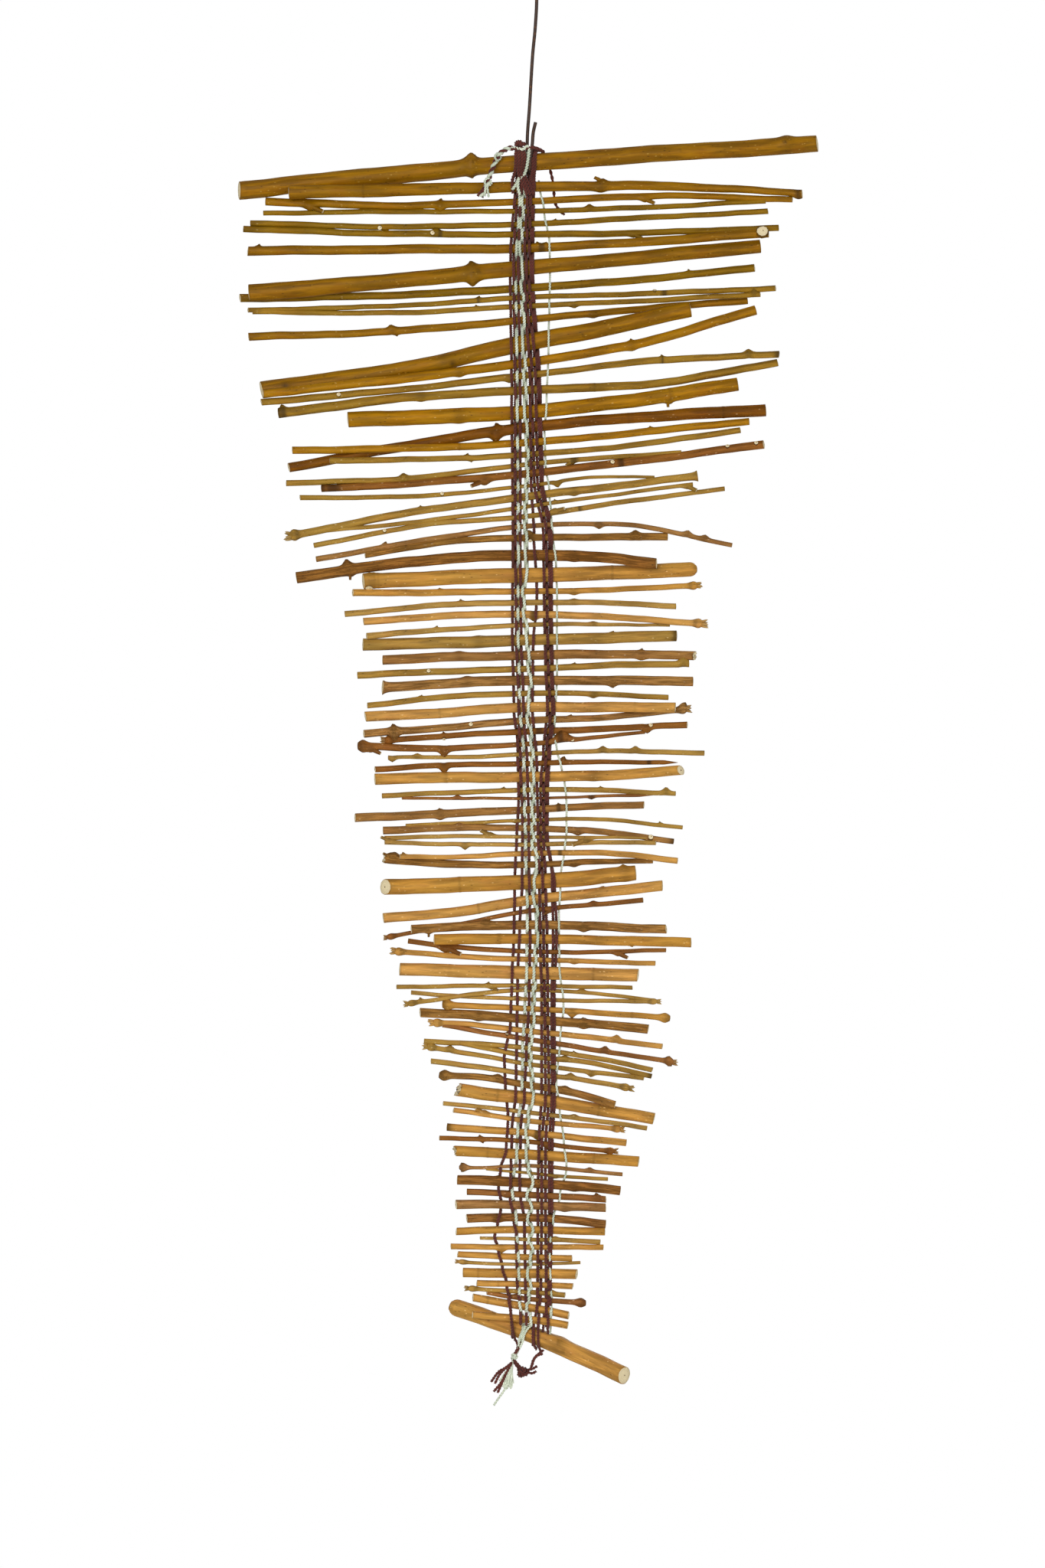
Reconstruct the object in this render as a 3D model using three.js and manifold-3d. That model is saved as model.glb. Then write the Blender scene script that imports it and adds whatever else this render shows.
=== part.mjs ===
// A woven wall hanging: about a hundred cut twigs held one above the other by a narrow band of
// cotton warp threads, hung from a bent wire. Millimetres, +Z up, front towards -Y, origin at the
// middle of the wire's hanging eye.

import * as THREE from 'three';
import { mergeVertices } from 'three/addons/utils/BufferGeometryUtils.js';
import Module from 'manifold-3d';

const wasm = await Module();
wasm.setup();

// ---- Driving dimensions ---------------------------------------------------------------------

const GAP = 0.3;             // clear space between pieces that touch
const THREAD = 1.7;          // thickness of one warp thread
const WIRE = 1.8;            // thickness of the hanging wire
const EYE_INSIDE = 10;       // clear width of the wire's hanging eye
const BAND_X = -4;           // where a twig's height is given: the middle of the thread band
const RUN_DEPTH = 3.4;       // depth of the flat solid that stands for a run of thin twigs
const RUN_STEP = 45;         // longest stretch between two corners of such a solid's edges
const TWIG_STRETCHES = 6;    // straight stretches along one twig
const TWIG_FLATS = 7;        // flats round one twig
const TAIL_FLATS = 8;        // flats round a wire or a thread

const GOLDEN = [0xb0803a, 0.62];
const OLIVE = [0x9c8142, 0.66];
const RUSSET = [0x8a5230, 0.6];
const GREY_BARK = [0x77593f, 0.85];
const MAROON = [0x4a2622, 0.9];
const MINT = [0xc9dcba, 0.9];
const DARK_WIRE = [0x3b2c25, 0.45];

// Each twig: [name, heights of its middle line at the left end, halfway in, the band, halfway
// out and the right end, left end's x, right end's x, left and right thickness, look, and, where
// it passes in front of a neighbour or behind one, how far back its left end, its middle and its
// right end lie].
const SINGLE_TWIGS = [
  ['top_bar', [-119.5, -111.7, -105, -99.9, -95.1], -154.8, 146.8, 9.3, 8.7, GOLDEN],
  ['twig_01', [-121.4, -119.9, -117.6, -117.3, -120.8], -128.5, 139, 7.2, 3.6, GOLDEN, [-7.2, 0, 0]],
  ['twig_06', [-151.2, -150.3, -149.6, -146.5, -142.3], -150.4, 121.2, 5, 4.6, GOLDEN, [0, 0, -4.6]],
  ['twig_07', [-173.2, -167.2, -159.8, -154.3, -148.8], -149.6, 117.2, 8.8, 6.9, GOLDEN, [-2, 0, 0]],
  ['twig_08', [-175.2, -174, -170.4, -166, -160], -154.8, 114.2, 4.2, 4, OLIVE, [5, 0, 0]],
  ['twig_11', [-196, -193.2, -186.9, -181.2, -176.6], -150, 110.8, 4.2, 3.6, OLIVE, [0, 0, 5]],
  ['twig_12', [-223.4, -213.7, -198.8, -191, -181.8], -143.4, 80.4, 9, 8.4, GOLDEN, [3.5, 0, -2]],
  ['twig_13', [-225.8, -218.4, -209.3, -199, -182], -142, 114.8, 4.6, 5, GOLDEN, [-3.8, 0, 0]],
  ['twig_14', [-230.2, -223.8, -216, -208.6, -205.3], -143.4, 126.8, 3.6, 3.6, GOLDEN, [0, 0, -2.2]],
  ['twig_15', [-236, -227.9, -223.8, -220.3, -209.3], -134.5, 126.4, 5, 4, OLIVE, [0, 0, 2.2]],
  ['twig_16', [-239.2, -237.6, -235.2, -229, -220.8], -98, 105.4, 8, 7, GOLDEN],
  ['twig_28', [-322, -313.3, -310, -311, -314.7], -125, 62.8, 5.8, 5.6, GREY_BARK, [0, 0, -3.5]],
  ['twig_29', [-323.8, -321.8, -320.5, -319.2, -317.2], -90, 84, 8, 7.4, GOLDEN, [0, 0, 3.5]],
  ['twig_34', [-356.7, -355.7, -354.4, -353.2, -352.3], -90.4, 73.4, 6.4, 5.6, GOLDEN, [4.2, 0, 0]],
  ['twig_35', [-364.9, -363.3, -362.3, -361.8, -362.6], -80, 83.5, 5, 4.6, RUSSET],
  ['twig_36', [-372.8, -370.8, -369.4, -367.6, -366.8], -93.2, 80, 3.6, 3.4, OLIVE],
  ['twig_37', [-379, -376.8, -375.6, -375.4, -376], -80, 82, 5, 5, GREY_BARK],
  ['twig_38', [-388.6, -384.1, -382.2, -382.6, -384.4], -88, 69.2, 3.2, 2.8, OLIVE],
  ['twig_39', [-394.4, -392.3, -389.4, -389.6, -389.8], -89, 72.6, 5.2, 5.4, GOLDEN, [0, 0, -4.8]],
  ['twig_45', [-427.2, -426.2, -425.8, -425.1, -422.4], -84, 75.6, 6, 5.2, GOLDEN],
  ['twig_48', [-447.3, -445.2, -443, -441.5, -440.6], -94.4, 56.4, 4.6, 3.6, RUSSET],
  ['twig_54', [-468.6, -471.6, -471.8, -470.4, -469.8], -80, 61.2, 4.6, 2.6, GREY_BARK, [4.3, 0, 4.3]],
  ['twig_55', [-483.4, -482.3, -480.7, -478.9, -476], -78.5, 52, 8.2, 7.8, GOLDEN],
  ['twig_56', [-499.7, -496.3, -490.3, -486.5, -482.7], -79.6, 66, 5.2, 5.4, GOLDEN],
  ['twig_59', [-510.8, -510.3, -510.5, -511.3, -512.4], -53, 81, 5.5, 5, GOLDEN, [-4.9, 0, 0]],
  ['twig_62', [-526.4, -527.2, -528.2, -528.8, -529.5], -71, 53.2, 6.8, 6.8, GOLDEN],
  ['twig_67', [-549, -550.4, -552.4, -554.8, -557.6], -60.4, 58.6, 4.8, 4.6, GREY_BARK],
  ['twig_74', [-581.6, -583, -586.8, -590.3, -597], -50.4, 41.2, 3.4, 4, GREY_BARK, [0, 0, -4]],
  ['twig_75', [-589.2, -591.8, -593.7, -599, -604.6], -41, 61.6, 6.8, 6.4, GOLDEN, [0, 0, 1.6]],
  ['twig_80', [-621.3, -622.2, -623.1, -625.1, -626.9], -43, 53.6, 5.6, 5.4, GOLDEN],
  ['twig_83', [-636.4, -637, -638, -639.4, -642], -41, 44, 5, 4.9, GREY_BARK],
  ['twig_92', [-684.8, -685, -685.3, -685.5, -685.7], -38, 21.2, 5.2, 5, GOLDEN],
  ['twig_96', [-697.8, -700.4, -703, -705, -707.3], -32.8, 17, 4, 4.2, GOLDEN],
  ['twig_97', [-706.6, -707.6, -709, -710.2, -712], -33, 16.6, 3.8, 3.8, GOLDEN, [-3.4, -3.4, -3.4]],
  ['bottom_bar', [-702.4, -709.5, -716.8, -727.5, -739], -44.8, 46, 9.2, 9.2, GOLDEN,
    [3.4, 3.4, 3.4]],
];

// Runs of thin twigs that lie close together or across each other. One flat solid reaches the
// tips of each run.
const TWIG_RUNS = [
  ['thin_twigs_02_05', OLIVE, [
    ['twig_02', [-125.3, -127.4, -125.2, -122.3, -124.2], -141.2, 134, 4.2, 3.2],
    ['twig_03', [-131.3, -130.6, -130.3, -128.3, -125], -142.4, 120, 2.7, 2.8],
    ['twig_04', [-136.6, -138.4, -137, -133.7, -130.3], -149.2, 121.2, 3.2, 3],
    ['twig_05', [-139.6, -142, -142.4, -141.5, -139], -152.8, 126.8, 3.5, 3.4],
  ]],
  ['thin_twigs_09_10', OLIVE, [
    ['twig_09', [-182, -180, -175.3, -173.3, -170.6], -150.4, 125.2, 2.6, 3],
    ['twig_10', [-182.8, -183.5, -179.9, -177.1, -173.8], -148, 117.2, 2.8, 2.8],
  ]],
  ['thin_twigs_17_27', OLIVE, [
    ['twig_17', [-264, -252.6, -243.2, -237.7, -234.4], -129.2, 120, 5, 6.2],
    ['twig_18', [-255.2, -254.2, -251.2, -245.9, -240.2], -127.2, 111.4, 4, 3.8],
    ['twig_19', [-260.6, -259.9, -257.4, -252.5, -244.7], -107.6, 106.8, 3.2, 3.1],
    ['twig_20', [-272.4, -270, -262.6, -259.1, -256.4], -130.4, 76, 3.2, 2.4],
    ['twig_21', [-275.2, -272.1, -267.4, -260.2, -252.2], -112, 119, 3.8, 4.4],
    ['twig_22', [-280, -279.3, -273.8, -269.2, -269.2], -123.2, 62, 2.8, 1.6],
    ['twig_23', [-300.2, -288, -279.3, -274.1, -268.6], -129.4, 84.4, 4, 4],
    ['twig_24', [-297.4, -292.2, -284.6, -278.6, -273], -112, 82, 2.4, 2],
    ['twig_25', [-305, -294.5, -289.7, -282, -275.3], -116, 98.6, 2.8, 2.6],
    ['twig_26', [-312.2, -302.4, -294.9, -294.5, -304.9], -114.8, 102.4, 3, 2.4],
    ['twig_27', [-310, -303, -301, -300.5, -300.3], -89.2, 68.8, 3.4, 4],
  ]],
  ['thin_twigs_30_33', OLIVE, [
    ['twig_30', [-329.6, -329.5, -328.9, -328.1, -325.7], -95.6, 85.5, 3.8, 3],
    ['twig_31', [-340.8, -336.3, -334.8, -335, -336.8], -99.8, 73.2, 3.2, 3],
    ['twig_32', [-344.7, -341.8, -340.9, -342.6, -346], -90, 88, 4, 3.4],
    ['twig_33', [-352.4, -348.8, -346.5, -346.1, -346.6], -88.4, 70, 3.4, 1.6],
  ]],
  ['thin_twigs_40_44', RUSSET, [
    ['twig_40', [-403.4, -400, -396.5, -394.7, -390.3], -89.8, 80, 4.2, 3],
    ['twig_41', [-406.8, -404.2, -402.2, -400.7, -398.7], -80, 79, 3, 3.6],
    ['twig_42', [-409.8, -410.9, -408.7, -405.8, -402.5], -93, 57, 4, 1.8],
    ['twig_43', [-415.6, -415.6, -413.9, -412.4, -413.5], -77.2, 88, 2, 2.8],
    ['twig_44', [-422, -419.6, -419, -418, -418.4], -84, 74, 2.8, 2.4],
  ]],
  ['thin_twigs_46_47', OLIVE, [
    ['twig_46', [-435.8, -434.1, -432.7, -432.9, -434.6], -80.4, 73, 2.8, 2.6],
    ['twig_47', [-437, -437, -437.2, -436, -435.5], -70, 61, 1.6, 1.6],
  ]],
  ['thin_twigs_49_53', OLIVE, [
    ['twig_49', [-451.3, -449.8, -448.5, -448.2, -452.3], -68, 76.6, 1.8, 2.2],
    ['twig_50', [-453.8, -452.6, -452.7, -454.6, -459.6], -79.8, 72, 4, 3],
    ['twig_51', [-457.8, -457, -457.2, -457.6, -457.7], -79, 58, 2.4, 1.4],
    ['twig_52', [-460, -461, -461.3, -460.2, -460.3], -79, 62.6, 2.4, 2.4],
    ['twig_53', [-467.6, -467.5, -465.9, -465.6, -469.7], -71, 74, 2.6, 3.2],
  ]],
  ['thin_twigs_57_58', GREY_BARK, [
    ['twig_57', [-510, -503, -496, -493, -490.2], -79, 56, 2.2, 2.6],
    ['twig_58', [-505.6, -503.9, -503.2, -504, -505.4], -65, 68, 4.8, 4.6],
  ]],
  ['thin_twigs_60_61', GOLDEN, [
    ['twig_60', [-511.7, -515.5, -517, -517.4, -516.4], -66.8, 68, 2.8, 2.2],
    ['twig_61', [-516.8, -519.8, -521.2, -522.4, -523.3], -74.8, 62.4, 3, 2.6],
  ]],
  ['thin_twigs_63_66', OLIVE, [
    ['twig_63', [-535.6, -535.2, -534.9, -535.5, -536], -72.8, 50.4, 2.4, 2.2],
    ['twig_64', [-544.5, -539.8, -537.2, -538.9, -542.6], -68, 61, 2.4, 2],
    ['twig_65', [-538.6, -540.8, -542, -543, -543.2], -65.2, 64.4, 2.2, 2.2],
    ['twig_66', [-545, -545.8, -547, -549, -552], -48.8, 70, 3.2, 3],
  ]],
  ['thin_twigs_68_73', GOLDEN, [
    ['twig_68', [-554.2, -555.7, -558.7, -562.3, -566.7], -54.8, 66, 3, 3],
    ['twig_69', [-555.4, -559.3, -563, -569, -575], -48.8, 72.8, 2.8, 2.6],
    ['twig_70', [-564, -565.4, -567.6, -572.2, -579], -58.4, 60.8, 2.8, 2.6],
    ['twig_71', [-564.8, -568.3, -571.8, -575.3, -582.3], -40, 60.4, 2.8, 2.6],
    ['twig_72', [-566.6, -571, -576, -579.5, -583.3], -58, 56.4, 2.6, 2.4],
    ['twig_73', [-574.4, -577.4, -581.2, -583.8, -588.6], -54.8, 50, 2.8, 2.7],
  ]],
  ['thin_twigs_76_79', GOLDEN, [
    ['twig_76', [-596.4, -598.6, -601.2, -604.8, -609.4], -48.4, 58, 2.4, 2.4],
    ['twig_77', [-600, -602.8, -605.6, -607.8, -610.2], -43, 45.6, 2.8, 2.6],
    ['twig_78', [-608.8, -610.3, -611.8, -614.4, -617], -46.4, 47.2, 3.9, 3.6],
    ['twig_79', [-614.6, -615, -616.4, -619.5, -621.5], -50.4, 42, 2.6, 2.4],
  ]],
  ['thin_twigs_81_82', RUSSET, [
    ['twig_81', [-630, -629.8, -629, -631, -633.6], -40, 45.2, 1.8, 2.2],
    ['twig_82', [-630.8, -631.8, -632.8, -635, -636], -26, 37.6, 1.4, 2],
  ]],
  ['thin_twigs_84_87', GREY_BARK, [
    ['twig_84', [-642.6, -643.3, -644.3, -645.2, -646.6], -36, 36.5, 3.5, 3.4],
    ['twig_85', [-649.4, -649.3, -649.6, -650.2, -651], -41.6, 36.4, 4.8, 4.4],
    ['twig_86', [-656.6, -656, -656.2, -657.3, -659.6], -36, 36.4, 4.5, 4.3],
    ['twig_87', [-663.4, -662.6, -662.4, -662.8, -663.4], -41.5, 36, 4, 4],
  ]],
  ['thin_twigs_88_91', OLIVE, [
    ['twig_88', [-666.8, -667, -667.6, -668, -668.9], -29.2, 33.6, 1.8, 2.6],
    ['twig_89', [-671.2, -671.4, -671.6, -671.6, -671.6], -44.4, 35.2, 3, 3],
    ['twig_90', [-675.3, -676.2, -676.9, -677.1, -677.3], -40.8, 18.8, 3.2, 3.4],
    ['twig_91', [-679, -680.2, -680.6, -680.2, -679.6], -41.5, 23.2, 1.8, 1.8],
  ]],
  ['thin_twigs_93_95', RUSSET, [
    ['twig_93', [-690.4, -690.7, -691.1, -691.5, -692], -30.8, 19.2, 3.4, 3.2],
    ['twig_94', [-693, -694, -695, -695.8, -696.6], -36.4, 15.2, 2.2, 2.8],
    ['twig_95', [-695.3, -697.2, -698.6, -699.8, -700.8], -25.6, 26, 2.2, 3],
  ]],
];

// The thread band's left and right edges, from its top to its bottom: [z, left x, right x].
const BAND_EDGES = [
  [-98.6, -11, -0.6], [-110, -12, 0.5], [-120, -13.5, 4], [-150, -13.5, 8], [-195, -13, 8.5],
  [-245, -12.5, 6], [-300, -12.5, 11.5], [-395, -12.5, 12], [-430, -11, 16.5], [-475, -11.5, 14.5],
  [-535, -13, 15], [-565, -16, 15.5], [-590, -17, 12], [-625, -20.5, 17], [-650, -20.5, 12],
  [-668, -22.5, 9], [-690, -17, 9.5], [-705, -15, 9], [-724.4, -12.5, 6],
];

// The routes of the loose thread ends, and of the wire's hook round the top bar.
const LEFT_TAIL = [
  [-12.4, -3.6, -97.6], [-15.5, -5.8, -98.8], [-19.2, -7.4, -101.8], [-21.8, -7.8, -107],
  [-24, -7.8, -112.8], [-25.8, -7.6, -118.4], [-28.6, -7.2, -123.8],
];
const RIGHT_TAIL = [
  [0.8, 0.4, -98.4], [3.2, 3.8, -98.9], [5.6, 6.4, -102.6], [7.4, 7.2, -107.6],
  [8.7, 6.8, -113], [9.4, 6, -119], [10, 4.8, -125], [12, 3.8, -129], [15, 3.4, -131.8],
];
const KNOT_STRAND = [[3.6, -2, -727], [0.6, -2.4, -728], [-1.4, -2.6, -730.4], [-2, -2.6, -732.9]];
const LEFT_TAIL_THICK = 3;
const RIGHT_TAIL_THICK = 1.9;
const STRAND_THICK = 2;

// ---- Shared helpers -------------------------------------------------------------------------

const hanging = new THREE.Group();

function addPiece(name, geometry, [color, roughness], metalness = 0) {
  const material = new THREE.MeshStandardMaterial({ color, roughness, metalness });
  const mesh = new THREE.Mesh(geometry, material);
  mesh.name = name;
  hanging.add(mesh);
}

function toSolid(geometry) {
  const bare = geometry.clone();
  bare.deleteAttribute('normal');
  bare.deleteAttribute('uv');
  const merged = mergeVertices(bare, 1e-4);
  return new wasm.Manifold(new wasm.Mesh({
    numProp: 3,
    vertProperties: new Float32Array(merged.attributes.position.array),
    triVerts: new Uint32Array(merged.index.array),
  }));
}

function toGeometry(solid) {
  const mesh = solid.getMesh();
  const geometry = new THREE.BufferGeometry();
  geometry.setAttribute('position', new THREE.BufferAttribute(mesh.vertProperties, 3));
  geometry.setIndex(new THREE.BufferAttribute(mesh.triVerts, 1));
  return geometry;
}

function point3([x, y, z]) {
  return new THREE.Vector3(x, y, z);
}

// ---- Twigs ----------------------------------------------------------------------------------

function readTwig([name, heights, leftX, rightX, leftThick, rightThick, look,
  depths = [0, 0, 0]]) {
  const stations = [
    leftX, (leftX + BAND_X) / 2, BAND_X, (BAND_X + rightX) / 2, rightX,
  ];
  return { name, stations, heights, leftX, rightX, leftThick, rightThick, look, depths };
}

// The middle line's height: a smooth curve through the five given heights.
function heightAt({ stations, heights }, x) {
  const slopes = stations.map((_, i) => {
    const [before, after] = [Math.max(i - 1, 0), Math.min(i + 1, stations.length - 1)];
    return (heights[after] - heights[before]) / (stations[after] - stations[before]);
  });
  let i = 0;
  while (i < stations.length - 2 && x > stations[i + 1]) i++;
  const span = stations[i + 1] - stations[i];
  const t = (x - stations[i]) / span;
  return heights[i] * (1 + 2 * t) * (1 - t) ** 2 + heights[i + 1] * t * t * (3 - 2 * t)
    + span * (slopes[i] * t * (1 - t) ** 2 + slopes[i + 1] * t * t * (t - 1));
}

// How far back the middle line lies; most of an arm's offset is reached by halfway out.
function depthAt({ leftX, rightX, depths: [left, middle, right] }, x) {
  const out = x < BAND_X ? (BAND_X - x) / (BAND_X - leftX) : (x - BAND_X) / (rightX - BAND_X);
  return middle + ((x < BAND_X ? left : right) - middle) * out * (2 - out);
}

function thickAt(twig, x) {
  const along = (x - twig.leftX) / (twig.rightX - twig.leftX);
  return twig.leftThick + (twig.rightThick - twig.leftThick) * along;
}

// A tapered rod along X, bent onto the twig's middle line. grow makes it thicker all round.
function twigGeometry(twig, grow = 0) {
  const length = twig.rightX - twig.leftX;
  const outline = [new THREE.Vector2(0, 0)];
  for (let i = 0; i <= TWIG_STRETCHES; i++) {
    const along = length * i / TWIG_STRETCHES;
    outline.push(new THREE.Vector2(thickAt(twig, twig.leftX + along) / 2 + grow, along));
  }
  outline.push(new THREE.Vector2(0, length));
  const geometry = new THREE.LatheGeometry(outline, TWIG_FLATS);
  geometry.rotateZ(-Math.PI / 2);
  geometry.translate(twig.leftX, 0, 0);
  const position = geometry.attributes.position;
  for (let i = 0; i < position.count; i++) {
    const x = position.getX(i);
    position.setY(i, position.getY(i) + depthAt(twig, x));
    position.setZ(i, position.getZ(i) + heightAt(twig, x));
  }
  geometry.computeVertexNormals();
  return geometry;
}

// The flat solid of a run of twigs: its upper edge follows whichever twig is highest at each
// place, its lower edge the lowest one, and its corners are the tips.
function runGeometry(twigs, grow = 0) {
  const tips = twigs.flatMap((twig) => [twig.leftX, twig.rightX]).sort((a, b) => a - b);
  const places = [tips[0]];
  for (const tip of tips.slice(1)) {
    const last = places[places.length - 1];
    if (tip - last < 1.5) continue;
    const parts = Math.ceil((tip - last) / RUN_STEP);
    for (let i = 1; i <= parts; i++) places.push(last + (tip - last) * i / parts);
  }
  const upper = [];
  const lower = [];
  for (const x of places) {
    const present = twigs.filter((twig) => x >= twig.leftX - 1.5 && x <= twig.rightX + 1.5);
    const edges = (side) => present.map((twig) => heightAt(twig, x) + side * thickAt(twig, x) / 2);
    upper.push(new THREE.Vector2(x, Math.max(...edges(1)) + grow));
    lower.push(new THREE.Vector2(x, Math.min(...edges(-1)) - grow));
  }
  return upright([...upper, ...lower.reverse()], RUN_DEPTH + 2 * grow);
}

// An outline drawn in X and Z, made a solid of the given depth with its middle at y = 0.
function upright(outline, depth) {
  const shape = new THREE.Shape(outline);
  const geometry = new THREE.ExtrudeGeometry(shape, { depth, bevelEnabled: false });
  geometry.translate(0, 0, -depth / 2);
  geometry.rotateX(Math.PI / 2);
  return geometry;
}

const singles = SINGLE_TWIGS.map(readTwig);
const runs = TWIG_RUNS.map(([name, look, rows]) => ({ name, look, twigs: rows.map(readTwig) }));

for (const twig of singles) addPiece(twig.name, twigGeometry(twig), twig.look);
for (const run of runs) addPiece(run.name, runGeometry(run.twigs), run.look);

// ---- Wire, tails and knots ------------------------------------------------------------------

function roundSection(thick, flats) {
  const shape = new THREE.Shape();
  for (let i = 0; i < flats; i++) {
    const angle = 2 * Math.PI * i / flats;
    const [x, y] = [thick / 2 * Math.cos(angle), thick / 2 * Math.sin(angle)];
    if (i === 0) shape.moveTo(x, y);
    else shape.lineTo(x, y);
  }
  shape.closePath();
  return shape;
}

function tubeGeometry(route, thick, steps) {
  const path = new THREE.CatmullRomCurve3(route.map(point3), false, 'centripetal');
  const section = roundSection(thick, TAIL_FLATS);
  return new THREE.ExtrudeGeometry(section, { steps, extrudePath: path, bevelEnabled: false });
}

// From the free end of the eye round to the stem, down behind the top bar, round under it and
// up its front to the hook's tip.
function wireRoute() {
  const route = [];
  const eyeRadius = (EYE_INSIDE + WIRE) / 2;
  for (let degrees = -50; degrees <= 240; degrees += 29) {
    const angle = THREE.MathUtils.degToRad(degrees);
    route.push([eyeRadius * Math.cos(angle), 0, eyeRadius * Math.sin(angle)]);
  }
  route.push([-0.4, 0, -10], [0.4, 0, -20], [-1.8, 0.4, -50], [-3.3, 2, -75], [-4.4, 4.6, -90]);
  const bar = singles.find((twig) => twig.name === 'top_bar');
  const hookX = -4.2;
  const hookRadius = thickAt(bar, hookX) / 2 + 1.5 * GAP + WIRE / 2;
  const barZ = heightAt(bar, hookX);
  for (let degrees = 10; degrees >= -190; degrees -= 40) {
    const angle = THREE.MathUtils.degToRad(degrees);
    const forward = (10 - degrees) / 200;
    const y = hookRadius * Math.cos(angle);
    route.push([hookX - 0.4 + 1.6 * forward, y, barZ + hookRadius * Math.sin(angle)]);
  }
  route.push([-1.9, -5.4, -96], [-1.4, -5, -90], [-0.2, -4.6, -84.6]);
  return route;
}

function knotGeometry([x, y, z], [wide, deep, high]) {
  const geometry = new THREE.SphereGeometry(0.5, 10, 7);
  geometry.rotateX(Math.PI / 2);
  geometry.scale(wide, deep, high);
  geometry.translate(x, y, z);
  return geometry;
}

// A fan of cut thread ends: a cone that opens from the knot, then narrows to the longest end.
function fringeGeometry(from, to) {
  const start = point3(from);
  const along = point3(to).sub(start);
  const length = along.length();
  const outline = [[0, 0], [1.3, 0], [3.6, 0.35], [3.9, 0.5], [1.4, 0.62], [0.5, 1], [0, 1]]
    .map(([radius, part]) => new THREE.Vector2(radius, part * length));
  const geometry = new THREE.LatheGeometry(outline, TAIL_FLATS);
  geometry.scale(1, 1, 0.5);
  const turn = new THREE.Quaternion().setFromUnitVectors(
    new THREE.Vector3(0, 1, 0), along.normalize());
  geometry.applyQuaternion(turn);
  geometry.translate(start.x, start.y, start.z);
  return geometry;
}

const wireStretches = 46;
const wirePath = wireRoute();
addPiece('hanging_wire', tubeGeometry(wirePath, WIRE, wireStretches), DARK_WIRE, 0.8);
addPiece('top_knot', knotGeometry([-8.4, -2.6, -96.2], [7, 6.4, 4.2]), MAROON);
addPiece('left_tail', tubeGeometry(LEFT_TAIL, LEFT_TAIL_THICK, 6), MINT);
addPiece('right_tail', tubeGeometry(RIGHT_TAIL, RIGHT_TAIL_THICK, 12), MAROON);
addPiece('mint_knot', knotGeometry([-11, -2.6, -727.6], [4.4, 4, 5]), MINT);
addPiece('maroon_knot', knotGeometry([-6, -2.6, -736.6], [8, 6, 6.6]), MAROON);
addPiece('knot_strand', tubeGeometry(KNOT_STRAND, STRAND_THICK, 4), MAROON);
addPiece('fringe', fringeGeometry([-12.6, -2.6, -730.8], [-22.2, -2.6, -754.2]), MINT);

// ---- Thread band ----------------------------------------------------------------------------

// Seen from the side, the band bulges over each twig or run and closes in between them.
// The corners of one face, top to bottom: side is -1 for the front and 1 for the back.
function bandFace(side) {
  const cover = THREAD + 2 * GAP;
  const stops = [];
  for (const twig of singles) {
    const middle = heightAt(twig, BAND_X);
    const half = thickAt(twig, BAND_X) / 2;
    const y = depthAt(twig, BAND_X) + side * (half + cover);
    stops.push([y, middle + half, middle - half]);
  }
  for (const run of runs) {
    const upper = run.twigs[0];
    const lower = run.twigs[run.twigs.length - 1];
    stops.push([side * (RUN_DEPTH / 2 + cover),
      heightAt(upper, BAND_X) + thickAt(upper, BAND_X) / 2,
      heightAt(lower, BAND_X) - thickAt(lower, BAND_X) / 2]);
  }
  stops.sort((a, b) => b[1] - a[1]);
  stops[0][0] += side * (WIRE + GAP);
  stops[0][1] = BAND_EDGES[0][0];
  stops[stops.length - 1][2] = BAND_EDGES[BAND_EDGES.length - 1][0];
  return stops.flatMap(([y, top, bottom]) => [
    new THREE.Vector2(y, top), new THREE.Vector2(y, bottom)]);
}

function bandSolid() {
  const outline = [...bandFace(-1), ...bandFace(1).reverse()];
  const width = 80;
  const slab = upright(outline, width);
  slab.rotateZ(Math.PI / 2);
  const left = BAND_EDGES.map(([z, x]) => new THREE.Vector2(x, z));
  const right = BAND_EDGES.map(([z, , x]) => new THREE.Vector2(x, z));
  const edges = upright([...left, ...right.reverse()], width);
  let solid = toSolid(slab).intersect(toSolid(edges));
  for (const twig of singles) solid = solid.subtract(toSolid(twigGeometry(twig, GAP)));
  for (const run of runs) solid = solid.subtract(toSolid(runGeometry(run.twigs, GAP)));
  return solid.subtract(toSolid(tubeGeometry(wirePath, WIRE + 2 * GAP, wireStretches)));
}

addPiece('thread_band', toGeometry(bandSolid()), MAROON);

export default hanging;
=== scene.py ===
"""A wall hanging of cut twigs woven into a band of cotton warps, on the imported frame."""

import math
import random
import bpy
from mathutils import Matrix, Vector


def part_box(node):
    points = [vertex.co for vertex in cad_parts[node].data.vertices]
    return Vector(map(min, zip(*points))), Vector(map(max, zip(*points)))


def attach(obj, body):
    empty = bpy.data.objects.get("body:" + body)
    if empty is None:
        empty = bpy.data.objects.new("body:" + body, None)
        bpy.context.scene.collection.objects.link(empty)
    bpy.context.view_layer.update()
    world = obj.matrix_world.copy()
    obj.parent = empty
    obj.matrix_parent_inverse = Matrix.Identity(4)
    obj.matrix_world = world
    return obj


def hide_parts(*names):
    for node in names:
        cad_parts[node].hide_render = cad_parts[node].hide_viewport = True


bl_info = {
    "name": "Woven Twig Hanging",
    "version": (1, 0, 0),
    "blender": (4, 5, 0),
    "location": "3D View > Sidebar > Twig Hanging",
    "description": "Makes the bark, warps, knots, wire and stage of a woven twig wall hanging",
    "category": "Add Mesh",
}

import bmesh
import bpy
from bpy.props import FloatProperty, FloatVectorProperty, IntProperty, PointerProperty
from mathutils import Vector

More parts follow.
